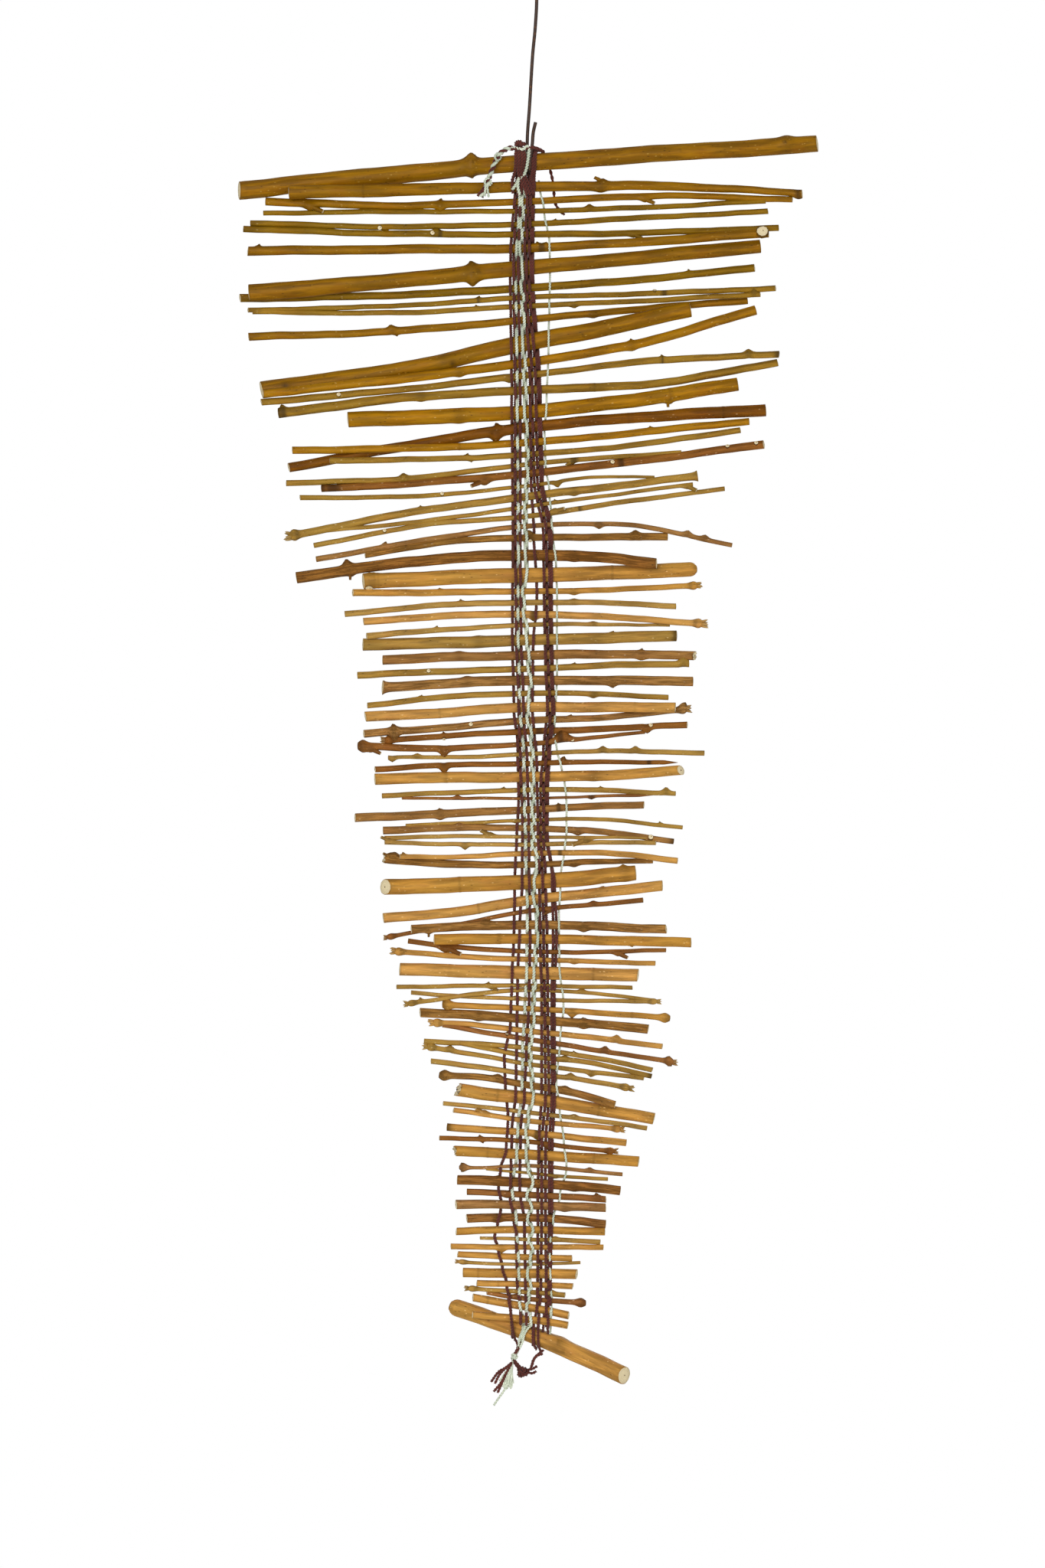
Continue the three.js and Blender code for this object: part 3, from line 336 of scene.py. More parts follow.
WARPS = (
    ("warp_01", "maroon", FRONT,
     ((-9.5, -98), (-13.4, -160), (-12.6, -228), (-12, -300), (-12.3, -350), (-11.5, -390),
      (-9.5, -410), (-9, -440), (-10, -455), (-11, -480), (-11.5, -510), (-12.5, -530),
      (-13.3, -555), (-16.5, -573), (-16, -586), (-14.5, -605), (-15.5, -620), (-18.5, -631),
      (-19.5, -640), (-18, -650), (-20, -659), (-21.5, -666), (-19.5, -674), (-17.5, -682),
      (-15.5, -690), (-14.2, -698), (-13, -706), (-12.3, -716))),
    ("warp_02", "maroon", BACK,
     ((-8.6, -98), (-11.6, -160), (-10.8, -228), (-10.8, -300), (-10.3, -350), (-9, -390),
      (-8, -420), (-7, -450), (-7.2, -480), (-8.5, -505), (-9.5, -530), (-10, -560),
      (-10.5, -590), (-12.5, -610), (-13, -630), (-13.5, -645), (-12, -655), (-10.3, -665),
      (-9.8, -690), (-8, -705))),
    ("warp_03", "mint", FRONT,
     ((-4.2, -98), (-4, -104), (-6.5, -111), (-8.5, -125), (-10.5, -160), (-9.8, -228),
      (-9, -300), (-9.4, -345), (-8.5, -388), (-6.3, -415), (-6, -440), (-5.3, -465),
      (-4.5, -495), (-4.8, -525), (-5.8, -548), (-7, -568), (-7.3, -592), (-9.3, -606),
      (-10, -622), (-12.4, -641), (-10.3, -657), (-9, -680), (-8.6, -700), (-6.5, -711),
      (-7.5, -720), (-11, -727))),
    ("warp_04", "maroon", BACK,
     ((-7.2, -98), (-9.2, -160), (-8.2, -228), (-8.2, -300), (-7.8, -350), (-6.5, -390),
      (-4.5, -420), (-3.8, -450), (-3.5, -480), (-3, -505), (-3.5, -540), (-5, -570), (-6, -592),
      (-8, -610), (-8.5, -640), (-6, -660), (-5.5, -690), (-5, -706))),
    ("warp_05", "mint", FRONT,
     ((-5.8, -98), (-8.4, -150), (-7, -190), (-6, -235), (-5, -258), (-6, -290), (-5.5, -315),
      (-7.1, -332), (-4.8, -358), (-3.4, -380), (-5, -390), (-2.4, -412), (-2, -440),
      (-2.1, -460), (0.5, -472), (-2, -480), (0.3, -503), (-1, -525), (-1.9, -550), (-3.5, -570),
      (-2.2, -590), (-5.3, -610), (-5, -628), (-2.5, -637), (-4.8, -645), (-3, -651),
      (-4.5, -657), (-2.5, -662), (-3.9, -668), (-2.5, -673), (-4.5, -686), (-3.5, -693),
      (-4.8, -700), (-5.4, -712), (-8, -720), (-11, -726))),
    ("warp_06", "mint", BACK,
     ((-5, -98), (-7.4, -150), (-6, -190), (-5, -235), (-4, -258), (-5, -290), (-4.5, -315),
      (-6.1, -332), (-3.8, -358), (-2.4, -380), (-4, -390), (-1.4, -412), (-1, -440),
      (-1.1, -460), (1.5, -472), (-1, -480), (1.3, -503), (0, -525), (-0.9, -550), (-2.5, -570),
      (-1.2, -590), (-4.3, -610), (-4, -628), (-1.5, -637), (-3.8, -645), (-2, -651),
      (-3.5, -657), (-1.5, -662), (-2.9, -668), (-1.5, -673), (-3.5, -686), (-2.5, -693),
      (-3.8, -700), (-2.6, -710))),
    ("warp_07", "maroon", FRONT,
     ((-3.6, -98), (-6, -160), (-3, -228), (-2.5, -270), (-1, -300), (0.5, -330), (-1.5, -360),
      (-1.8, -390), (0.5, -420), (1, -450), (1.8, -480), (2.3, -510), (3, -545), (3, -590),
      (1.5, -620), (1, -645), (1, -675), (0.8, -700), (-1.5, -715))),
    ("warp_08", "maroon", BACK,
     ((-3, -98), (-5, -160), (-1.8, -228), (-1, -270), (4, -300), (4.3, -335), (5, -365),
      (6, -390), (4, -412), (2.5, -430), (2.5, -455), (3.5, -480), (4, -510), (4.6, -545),
      (5, -590), (3, -620), (3, -650), (2.6, -690), (1.2, -715))),
    ("warp_09", "maroon", FRONT,
     ((-2.2, -98), (-3.6, -160), (0, -228), (0.8, -270), (5.5, -300), (5.8, -340), (6.5, -370),
      (7.5, -392), (5.5, -412), (4, -430), (4, -455), (5, -480), (5.8, -510), (6.2, -545),
      (6.8, -590), (5, -620), (5, -650), (5.3, -690), (5.5, -712))),
    ("warp_10", "maroon", BACK,
     ((-1.6, -98), (-2.6, -160), (1.3, -228), (2.4, -270), (7, -300), (7.2, -340), (8, -370),
      (8.6, -392), (6.6, -412), (5.3, -430), (5.2, -455), (8.5, -478), (9, -510), (8.2, -545),
      (8.4, -590), (7, -620), (7, -650), (6.6, -690), (6.3, -712))),
    ("warp_11", "maroon", BACK,
     ((-0.9, -98), (-1.6, -160), (2.3, -228), (3.4, -270), (8.2, -300), (8.2, -340), (8.6, -370),
      (9.4, -392), (7.4, -412), (6.2, -430), (6, -455), (9.8, -485), (10.8, -505), (9.6, -545),
      (9.8, -590), (8.5, -620), (8.3, -650), (7.6, -690), (7.4, -700))),
    ("warp_12", "mint", FRONT,
     ((0.5, -110), (2, -117), (4.5, -132), (7, -146), (7.4, -165), (7, -180), (6.5, -205),
      (5.5, -232), (4.5, -245), (5, -262), (7, -277), (8.2, -292), (9, -302), (10.3, -312),
      (11, -325), (11, -375), (10, -393), (9.5, -403), (11, -412), (13, -420), (15, -427),
      (16, -440), (16, -455), (15, -463), (13, -478), (12, -500), (12.3, -525), (14.5, -545),
      (12.5, -565), (10.7, -585), (12.5, -600), (14.5, -615), (16, -630), (12.5, -645),
      (9, -657), (7.2, -672), (7.6, -690), (8.3, -700), (7.5, -716))),
)

# The ends of the warps that tie them to the bars: colour, thickness and way as x, y, z.
TOP_TIES = (
    ("maroon", 2.2,
     ((-9.6, -3.2, -97.6), (-10.4, -5.4, -101), (-10.4, -5.7, -105.5), (-11, -4.4, -110.5),
      (-12.2, -3.4, -114.5), (-12.2, -3.9, -118.5), (-12, -2.8, -121.2))),
    ("maroon", 2.2,
     ((-8.6, -3.4, -97.4), (-8.9, -5.9, -101), (-8.8, -6.1, -105.5), (-9.2, -5.2, -110.5),
      (-7.6, -4.6, -115), (-5.8, -4.6, -119), (-4.8, -3, -122))),
    ("maroon", 2.2,
     ((-7.8, -3.4, -97.4), (-7.3, -6.1, -101), (-7.2, -6.3, -105.5), (-7.9, -5.6, -110),
      (-6.2, -5, -114.6), (-4.4, -4.6, -118.6), (-3, -2.8, -122))),
    ("maroon", 2.1,
     ((-7, -3.2, -97.6), (-5.9, -5.8, -101), (-5.8, -5.9, -105.5), (-6.6, -5.2, -109.8),
      (-5, -4.2, -114.2), (-2.8, -4.2, -118), (-1.6, -2.8, -121.4))),
    ("maroon", 1.1,
     ((-0.6, 1, -98), (-1.2, -3.6, -100.6), (-1.5, -5.4, -105), (-1.8, -4.2, -109.6),
      (-2.4, -2.4, -112.6), (-2.6, -3.2, -116), (-2.4, -3.4, -119))),
    ("maroon", 1.1,
     ((0.4, 1.4, -98.4), (-0.3, -3.2, -100.8), (-0.5, -5, -105), (-0.8, -3.8, -109.4),
      (-1, -1.8, -112.4), (-1, -3, -116), (-1, -3.2, -119))),
    ("maroon", 1.6,
     ((-13.2, -4.6, -98.6), (-10.6, -5.7, -98.3), (-7.4, -6.2, -98.9), (-4, -6, -98.2),
      (-1.4, -5.6, -97.9), (1.2, -2.2, -98.2), (4, 1.6, -99.2))),
    ("mint", 1.3,
     ((-13.4, -4.4, -98), (-11, -5.6, -98), (-8.6, -6.4, -98.6), (-6.4, -6.8, -98.8),
      (-4.8, -6.2, -97.2), (-3.6, -6, -98), (-3.6, -6.6, -101), (-4.2, -6.9, -105),
      (-5, -6.6, -109), (-6.4, -5.4, -112.2), (-8.6, -4.6, -114))),
    ("mint", 1.9,
     ((-8.4, -4.4, -112.6), (-9.4, -5.2, -115), (-10.6, -5.5, -117.4), (-12.4, -5.2, -119.8))),
    ("mint", 1.9,
     ((-8.6, -4.4, -112.8), (-9.3, -5.5, -116), (-9.3, -5.8, -119), (-8.4, -5.2, -122.6))),
)
LEFT_ENDS = (
    ("mint", 1.2,
     ((-18.4, -6, -103.4), (-20, -8.6, -101.2), (-21.4, -9.4, -103.4), (-20, -8.4, -105),
      (-18.6, -6.8, -103.8))),
    ("mint", 1.2,
     ((-23.2, -6.4, -116.8), (-24.6, -9, -114.2), (-26.6, -9.6, -115.6), (-26, -8.6, -118),
      (-23.8, -7, -117.4))),
    ("mint", 1.4, ((-25.6, -7.8, -117), (-25.2, -8.4, -120), (-24.6, -8.4, -124))),
    ("mint", 1.3, ((-26, -8.2, -117), (-26.4, -9, -120.4), (-26.6, -9, -123.6))),
    ("maroon", 1.8, ((-26.2, -7.6, -117.6), (-28.2, -7.6, -120.6), (-30.4, -7.4, -123.4))),
)
BOTTOM_TIES = (
    ("maroon", 1.3,
     ((-13.8, -2.6, -695.4), (-13.5, -3.6, -702), (-12.9, -6.4, -708), (-12.3, -4.6, -712.6),
      (-11.8, -2.4, -716.6), (-10.8, 0.4, -720.4))),
    ("mint", 1.4,
     ((-2.6, -2.4, -711.4), (-5.8, -2.6, -713), (-8.2, -2.3, -717.6), (-8.9, -1.4, -721.6),
      (-9.5, -2, -725), (-11, -2.6, -728))),
    ("mint", 1.4,
     ((-1, -2.4, -712), (-3.6, -2.9, -713), (-6, -2.6, -716.8), (-7, -1.9, -721),
      (-8.8, -2.2, -724.6), (-10.4, -2.8, -727.6))),
    ("maroon", 1.3,
     ((-8, 1.2, -721.4), (-8.6, -1.4, -723.4), (-9.8, -3.4, -725.4), (-11.8, -4, -728.2),
      (-10.6, -3.4, -731), (-8.4, -3, -733.6))),
    ("maroon", 1.3,
     ((-10.4, 1.4, -720.4), (-9.4, -0.6, -723), (-10.4, -1.6, -726), (-12.4, -2.4, -729),
      (-11, -2.4, -732), (-9, -2.6, -734.6))),
    ("maroon", 1.5,
     ((-1.2, -3.6, -711), (-1.2, -2.9, -714), (-1.3, -2.3, -718), (-1.1, -0.9, -722.2),
      (0.2, 2.2, -725.2))),
    ("maroon", 1.5,
     ((1, -3.6, -711.4), (1.1, -2.9, -714.6), (1.1, -2.3, -719), (1.4, -0.9, -723.2),
      (2.4, 2, -726))),
    ("maroon", 1.3, ((5.4, -2.6, -704), (5.7, -1.8, -711), (6.4, 0.8, -717))),
    ("maroon", 1.3, ((4.2, -2.6, -706), (4, -1.8, -711), (3.6, 0.8, -716))),
    ("mint", 1.3, ((7.6, -2.6, -704), (7.8, -1.8, -711), (7.4, 0.6, -717))),
    ("maroon", 1.7,
     ((3.8, 1.2, -725.6), (1.4, -1.8, -727.2), (-0.6, -2.6, -729), (-1.8, -2.8, -732),
      (-3, -3, -735.4))),
    ("maroon", 1.5, ((-4.4, -3.6, -736.4), (-2, -4, -737), (0.2, -3.4, -736))),
    ("maroon", 1.5, ((-4.6, -3, -735.4), (-2, -3.6, -734.8), (0.6, -3, -733.4))),
    ("maroon", 1.05,
     ((-12.4, -3, -731.4), (-16, -3.8, -734.2), (-19.6, -3.4, -736.4), (-23.4, -3, -741.6))),
    ("maroon", 1.05,
     ((-12.6, -3.2, -732), (-16.6, -4.2, -735), (-19.2, -3.8, -738), (-21.4, -3.2, -742.4))),
    ("maroon", 1.05,
     ((-12.8, -3.4, -732), (-15.6, -4.4, -737), (-18, -4, -741.6), (-22, -3.4, -746.6))),
    ("maroon", 1.05,
     ((-12.6, -2.8, -732), (-15, -3.6, -738), (-17.6, -3.6, -742), (-20, -3.2, -747.2))),
    ("mint", 0.9,
     ((-12.6, -3, -734), (-14.4, -3.4, -741), (-16.6, -3.2, -746), (-19.4, -3, -750),
      (-22, -2.8, -753.8))),
)

THIN_WARPS = {"warp_12": 0.7}  # thinner than the rest, as a part of their thickness

# The two loose ends of the top knot, as in the frame's own solids: x, y, z.
LEFT_TAIL = (
    (-12.4, -3.6, -97.6), (-15.5, -5.8, -98.8), (-19.2, -7.4, -101.8), (-21.8, -7.8, -107),
    (-24, -7.8, -112.8), (-25.8, -7.6, -118.4), (-28.6, -7.2, -123.8)
)
RIGHT_TAIL = (
    (0.8, 0.4, -98.4), (3.2, 3.8, -98.9), (5.6, 6.4, -102.6), (7.4, 7.2, -107.6), (8.7, 6.8, -113),
    (9.4, 6, -119), (10, 4.8, -125), (12, 3.8, -129), (15, 3.4, -131.8)
)

# The loose ends: node, way, colour of each ply, thickness.
TAILS = (
    ("left_tail", LEFT_TAIL, "mint", "maroon", 2.9),
    ("right_tail", RIGHT_TAIL, "maroon", "maroon", 1.8)
)
TAIL_TWIST = 175  # turns in one metre

# The knots: node, colour, middle, size, thickness of the thread.
TOP_KNOT = ("top_knot", "maroon", (-8.5, -3.4, -95.7), (4.9, 4.4, 2.4), 2.2)
MINT_KNOT = ("mint_knot", "mint", (-11.3, -3.8, -728.4), (2.8, 2.4, 3), 1.6)
MAROON_KNOT = ("maroon_knot", "maroon", (-7, -2.6, -736.4), (5.2, 3.8, 4.8), 2.3)

# The short strand between the two lowest knots, and where each strand of the fringe ends.
KNOT_STRAND = ((3.6, -2, -727), (0.6, -2.4, -728), (-1.4, -2.6, -730.4), (-2, -2.6, -732.9))
FRINGE_TIPS = (
    (-12.8, -741.5), (-13.4, -744.6), (-14.8, -743), (-15.8, -744.8), (-17.2, -743.6),
    (-18.4, -741.4)
)

WIRE_THICK = 1.8
HOOK_X = -4.2  # where the wire goes round the top bar
HOOK_REACH = 1.35  # from the bar's surface to the wire's middle line

THICK_FROM = 5  # the thickness from which a twig's joints swell less
PALE_BELOW = -330  # twigs below this height are palest
TONE_SPAN = 170  # and those this much higher are darkest

# The stage, in metres.
VIEW_MIDDLE = (-0.007, 0, -0.4296)
FLOOR_REACH = 1.15
SOFT_LAMP = 0.4  # the strength of the fill and back lamps, as a part of the key's

# ---- Settings ----------------------------------------------------------------------------------


def shade(red, green, blue):
    """A colour as it looks, 0 to 255, made linear for a shader."""
    return tuple(
        (c / 255 / 12.92 if c <= 10 else ((c / 255 + 0.055) / 1.055) ** 2.4)
        for c in (red, green, blue)
    )


def colour(name, description, red, green, blue):
    return FloatVectorProperty(
        name=name, description=description, subtype="COLOR", min=0, max=1,
        default=shade(red, green, blue)
    )


class TwigSettings(bpy.types.PropertyGroup):
    wander: FloatProperty(
        name="Wander", description="How far a twig strays from its middle line", default=0.16 * MM,
        unit="LENGTH", precision=5
    )
    ring_step: FloatProperty(
        name="Ring step", description="Distance between two rings of a twig's mesh",
        default=1.1 * MM, unit="LENGTH", precision=5
    )
    relief: FloatProperty(
        name="Bark relief", description="Depth of the bark's fine relief", default=0.12 * MM,
        unit="LENGTH", precision=5
    )
    golden: colour("Golden bark", "Smooth ochre bark of the thick twigs", 192, 133, 26)
    olive: colour("Olive bark", "Smooth olive-tan bark of the thin twigs", 176, 132, 44)
    russet: colour("Russet bark", "Thin red-brown bark", 150, 91, 14)
    pink: colour("Pink bark", "Pale pink-brown bark", 169, 116, 48)
    grey: colour("Grey bark", "Rough grey-brown bark", 177, 122, 46)
    dark: colour("Dark bark", "Dark ridged bark", 171, 111, 38)
    cut: colour("Cut wood", "Fresh wood at the cut ends", 255, 236, 190)


class ThreadSettings(bpy.types.PropertyGroup):
    thickness: FloatProperty(
        name="Warp thickness", description="Thickness of one cotton warp", default=1.85 * MM,
        unit="LENGTH", precision=5
    )
    plies: IntProperty(
        name="Plies", description="Strands twisted into one thread", default=2, min=1, max=4
    )
    twist: FloatProperty(name="Twist", description="Turns of the plies in one metre", default=330)
    maroon: colour("Maroon cotton", "Dark maroon of most warps", 106, 50, 40)
    mint: colour("Mint cotton", "Pale mint of the light warps", 236, 246, 220)
    wire: colour("Wire", "Dark coating of the hanging wire", 74, 58, 50)


class StageSettings(bpy.types.PropertyGroup):
    distance: FloatProperty(
        name="Camera distance", description="From the camera to the hanging", default=2.5,
        unit="LENGTH"
    )
    view_height: FloatProperty(
        name="Height in view", description="Height that the camera takes in at the hanging",
        default=0.8192, unit="LENGTH"
    )
    floor: FloatProperty(
        name="Floor level", description="Height of the floor", default=-1.08, unit="LENGTH"
    )
    light: FloatProperty(
        name="Key light", description="Strength of the main lamp", default=19, unit="POWER"
    )


# ---- Node building -----------------------------------------------------------------------------


class Term:
    """A number in a node tree. Arithmetic on it adds Math nodes."""

    def __init__(self, nodes, socket):
        self.nodes, self.socket = nodes, socket

    def math(self, operation, *others):
        made = self.nodes.node(
            "ShaderNodeMath", {"operation": operation}, dict(enumerate((self, *others)))
        )
        return Term(self.nodes, made.outputs[0])

    def _turned(self, operation, other):
        made = self.nodes.node("ShaderNodeMath", {"operation": operation}, {0: other, 1: self})
        return Term(self.nodes, made.outputs[0])

    def __add__(self, other):
        return self.math("ADD", other)

    def __radd__(self, other):
        return self.math("ADD", other)

    def __sub__(self, other):
        return self.math("SUBTRACT", other)

    def __rsub__(self, other):
        return self._turned("SUBTRACT", other)

    def __mul__(self, other):
        return self.math("MULTIPLY", other)

    def __rmul__(self, other):
        return self.math("MULTIPLY", other)

    def __truediv__(self, other):
        return self.math("DIVIDE", other)

    def between(self, low, high):
        """0 below low, 1 above high and smooth from one to the other; low may be the larger."""
        made = self.nodes.node(
            "ShaderNodeMapRange", {"interpolation_type": "SMOOTHSTEP"},
            {"Value": self, "From Min": low, "From Max": high}
        )
        return Term(self.nodes, made.outputs[0])


class Nodes:
    """One node tree, shader or geometry, and the one way that nodes are added to it."""

    def __init__(self, tree):
        self.tree = tree

    def node(self, kind, settings=None, inputs=None):
        made = self.tree.nodes.new(kind)
        for key, value in (settings or {}).items():
            setattr(made, key, value)
        for key, value in (inputs or {}).items():
            socket = made.inputs[key]
            if isinstance(value, Term):
                value = value.socket
            if isinstance(value, bpy.types.NodeSocket):
                self.tree.links.new(value, socket)
            elif isinstance(value, tuple) and len(value) == 3 and socket.type == "RGBA":
                socket.default_value = (*value, 1)
            else:
                socket.default_value = value
        return made

    def term(self, kind, settings=None, inputs=None):
        return Term(self, self.node(kind, settings, inputs).outputs[0])

    def scale(self, vector, by):
        """A vector times one number."""
        return self.node(
            "ShaderNodeVectorMath", {"operation": "SCALE"}, {0: vector, "Scale": by}
        ).outputs[0]

    def mix(self, amount, first, second, way="MIX"):
        made = self.node(
            "ShaderNodeMix", {"data_type": "RGBA", "blend_type": way, "clamp_factor": True},
            {0: amount, 6: first, 7: second}
        )
        return made.outputs[2]


class Finish(Nodes):
    """A material under way."""

    def __init__(self, name):
        self.material = bpy.data.materials.new(name)
        self.material.use_nodes = True
        super().__init__(self.material.node_tree)
        self.tree.nodes.clear()

    def attribute(self, name, output="Fac"):
        return Term(
            self, self.node("ShaderNodeAttribute", {"attribute_name": name}).outputs[output]
        )

    def stretched(self, vector, along, round_it):
        """A twig's own coordinates, scaled apart along it and round it."""
        return self.node(
            "ShaderNodeVectorMath", {"operation": "MULTIPLY"},
            {0: vector, 1: (along, round_it, round_it)}
        ).outputs[0]

    def noise(self, vector, detail=3.0, roughness=0.55, scale=1.0):
        return self.term(
            "ShaderNodeTexNoise", None,
            {"Vector": vector, "Scale": scale, "Detail": detail, "Roughness": roughness}
        )

    def done(self, tint, roughness, height=None, depth=0.0002, strength=1.0, **fixed):
        surface = {"Base Color": tint, "Roughness": roughness}
        surface.update({key.replace("_", " "): value for key, value in fixed.items()})
        if height is not None:
            surface["Normal"] = self.node(
                "ShaderNodeBump", None, {"Strength": strength, "Distance": depth, "Height": height}
            ).outputs[0]
        shader = self.node("ShaderNodeBsdfPrincipled", None, surface)
        self.node("ShaderNodeOutputMaterial", None, {"Surface": shader.outputs[0]})
        return self.material


def scaled(tint, by):
    return tuple(min(1.0, c * by) for c in tint)


def bark_finish(name, tint, grain, rough, speck, relief):
    """Bark: long soft streaks, fine fibres, dots, dark scars and pale wounds."""
    bark = Finish(name)
    along = bark.attribute("grain", "Vector")
    streak = bark.noise(bark.stretched(along, 45, 420))
    fibre = bark.noise(bark.stretched(along, 170, 2600), 4.0, 0.6)
    cloud = bark.noise(bark.stretched(along, 22, 120), 2.0)
    dots = bark.term(
        "ShaderNodeTexVoronoi", {"feature": "F1"},
        {"Vector": bark.stretched(along, 330, 620), "Scale": 1.0, "Randomness": 1.0}
    )
    dot = (
        dots.between(0.24, 0.12)
        * bark.noise(bark.stretched(along, 90, 300), 1.0).between(0.5, 0.62)
    )
    tone = bark.attribute("tone")
    lit = bark.mix(streak.between(0.36, 0.66), scaled(tint, 0.55), scaled(tint, 1.2))
    patch = bark.noise(bark.stretched(along, 60, 160), 2.0)
    lit = bark.mix(
        patch.between(0.5, 0.72) * 0.5, lit, (tint[0] * 0.9, tint[1] * 0.68, tint[2] * 0.6)
    )
    lit = bark.mix(
        fibre.between(0.3, 0.72) * (0.5 + 0.35 * grain), lit, scaled(tint, 0.7 - 0.34 * grain)
    )
    lit = bark.mix(
        cloud.between(0.46, 0.7) * 0.45, lit, (tint[0] * 0.95, tint[1] * 1.08, tint[2] * 1.2)
    )
    pits = bark.term(
        "ShaderNodeTexVoronoi", {"feature": "F1"},
        {"Vector": bark.stretched(along, 260, 700), "Scale": 1.0, "Randomness": 1.0}
    ).between(0.2, 0.1)
    lit = bark.mix(dot * 0.8, lit, speck)
    lit = bark.mix(pits * streak.between(0.6, 0.4) * 0.8, lit, scaled(tint, 0.2))
    lit = bark.node(
        "ShaderNodeHueSaturation", None,
        {"Hue": 0.5, "Saturation": 1.0 - tone * 0.08, "Value": 1.0 + tone * 0.34, "Color": lit}
    ).outputs[0]
    lit = bark.mix(bark.attribute("scar"), lit, scaled(tint, 0.16))
    lit = bark.mix(bark.attribute("wound"), lit, shade(228, 196, 134))
    furrow = bark.noise(bark.stretched(along, 70, 950), 3.0, 0.6).between(0.48, 0.6)
    # Painted shade: the bark is darkened in its furrows, where the bump sinks in.
    lit = bark.mix(furrow * (grain * 0.75), lit, scaled(tint, 0.36))
    height = (
        streak * 0.8 - furrow * grain * 1.6 + fibre * (0.25 + grain * 0.5) + dot * 0.6
        + cloud * 1.2
    )
    return bark.done(
        lit, rough + fibre * 0.18, height, relief * (0.6 + grain), 0.7, Specular_IOR_Level=0.16
    )


def cut_finish(name, tint):
    """The cut end of a twig: pale rings, rays and a darker pith and rim."""
    cut = Finish(name)
    place = cut.attribute("grain", "Vector")
    across = cut.node("ShaderNodeSeparateXYZ", None, {0: place})
    side, up = Term(cut, across.outputs[1]), Term(cut, across.outputs[2])
    radius = (side * side + up * up).math("SQRT")
    rings = (radius * 5200 + cut.noise(cut.stretched(place, 0, 900), 2.0) * 3).math("SINE")
    grit = cut.noise(cut.stretched(place, 900, 2600), 3.0)
    lit = cut.mix(rings.between(0.2, 1.0) * 0.2, tint, scaled(tint, 0.8))
    lit = cut.mix(grit.between(0.4, 0.75) * 0.25, lit, scaled(tint, 0.6))
    lit = cut.mix(radius.between(0.0006, 0.0002), lit, shade(120, 84, 48))
    lit = cut.mix(cut.attribute("scar"), lit, shade(70, 46, 28))
    return cut.done(lit, 0.8, rings * 0.3 + grit, 0.0002, 0.5)


def cotton_finish(name, tint, shadow):
    """Twisted cotton: dye and loose fibres from the thread's coordinates, painted shade between the
    plies.
    """
    cotton = Finish(name)
    place = cotton.node("ShaderNodeTexCoord").outputs["Object"]
    fuzz = cotton.noise(cotton.scale(place, 2400.0), 3.0, 0.65)
    dye = cotton.noise(cotton.scale(place, 90.0), 2.0)
    groove = cotton.attribute("groove")
    lit = cotton.mix(dye.between(0.35, 0.7), scaled(tint, 0.78), scaled(tint, 1.12))
    lit = cotton.mix(fuzz.between(0.45, 0.75) * 0.35, lit, scaled(tint, 1.5))
    # Painted shade: the grooves between the plies are darkened towards the shadow colour.
    lit = cotton.mix(groove * 0.75, lit, shadow)
    return cotton.done(
        lit, 0.95, fuzz, 0.00012, 0.6, Sheen_Weight=0.15, Sheen_Roughness=0.6,
        Specular_IOR_Level=0.2
    )


def wire_finish(name, tint):
    """Dark coated steel with worn, slightly rusty spots."""
    wire = Finish(name)
    place = wire.node("ShaderNodeTexCoord").outputs["Object"]
    worn = wire.noise(wire.scale(place, 420.0), 4.0)
    lit = wire.mix(worn.between(0.52, 0.68) * 0.7, tint, shade(120, 82, 56))
    return wire.done(lit, 0.38 + worn * 0.25, worn, 0.0001, 0.4, Metallic=0.65)


# ---- Twig meshes -------------------------------------------------------------------------------


class Twig:
    """One twig's middle line and thickness, in millimetres."""

    def __init__(self, row, depths, wander):
        self.name, self.heights, self.left, self.right, self.thick_left, self.thick_right = row[:6]
        self.bark, self.ends, self.depths, self.growth = row[6], row[7].split(), depths, row[-1]
        self.stations = (
            self.left, (self.left + BAND_X) / 2, BAND_X, (BAND_X + self.right) / 2, self.right
        )
        self.dice = random.Random(self.name)
        self.wander = wander / MM
        self.waves = [
            (self.dice.uniform(*span), self.dice.uniform(0, math.tau), size) for span,
            size in (((55, 90), 1.0), ((22, 36), 0.5), ((9, 15), 0.2))
        ]

    def stray(self, x, shift):
        inside = min(1.0, min(x - self.left, self.right - x) / 12)
        at_band = min(1.0, abs(x - BAND_X) / 25)
        total = sum(
            size * math.sin(x / length * math.tau + turn + shift) for length, turn,
            size in self.waves
        )
        return self.wander * total * max(0.0, inside) * at_band

    def height(self, x):
        at, up = self.stations, self.heights
        slopes = []
        for i in range(5):
            before, after = max(i - 1, 0), min(i + 1, 4)
            slopes.append((up[after] - up[before]) / (at[after] - at[before]))
        i = 0
        while i < 3 and x > at[i + 1]:
            i += 1
        span = at[i + 1] - at[i]
        t = (x - at[i]) / span
        curve = up[i] * (1 + 2 * t) * (1 - t) ** 2 + up[i + 1] * t * t * (3 - 2 * t)
        return curve + span * (slopes[i] * t * (1 - t) ** 2 + slopes[i + 1] * t * t * (t - 1))

    def depth(self, x):
        end = self.left if x < BAND_X else self.right
        out = (x - BAND_X) / (end - BAND_X)
        far = self.depths[0] if x < BAND_X else self.depths[2]
        return self.depths[1] + (far - self.depths[1]) * out * (2 - out)

    def centre(self, x):
        return Vector((x, self.depth(x) + self.stray(x, 1.3), self.height(x) + self.stray(x, 0)))

    def radius(self, x):
        part = (x - self.left) / (self.right - self.left)
        return (self.thick_left + (self.thick_right - self.thick_left) * part) / 2


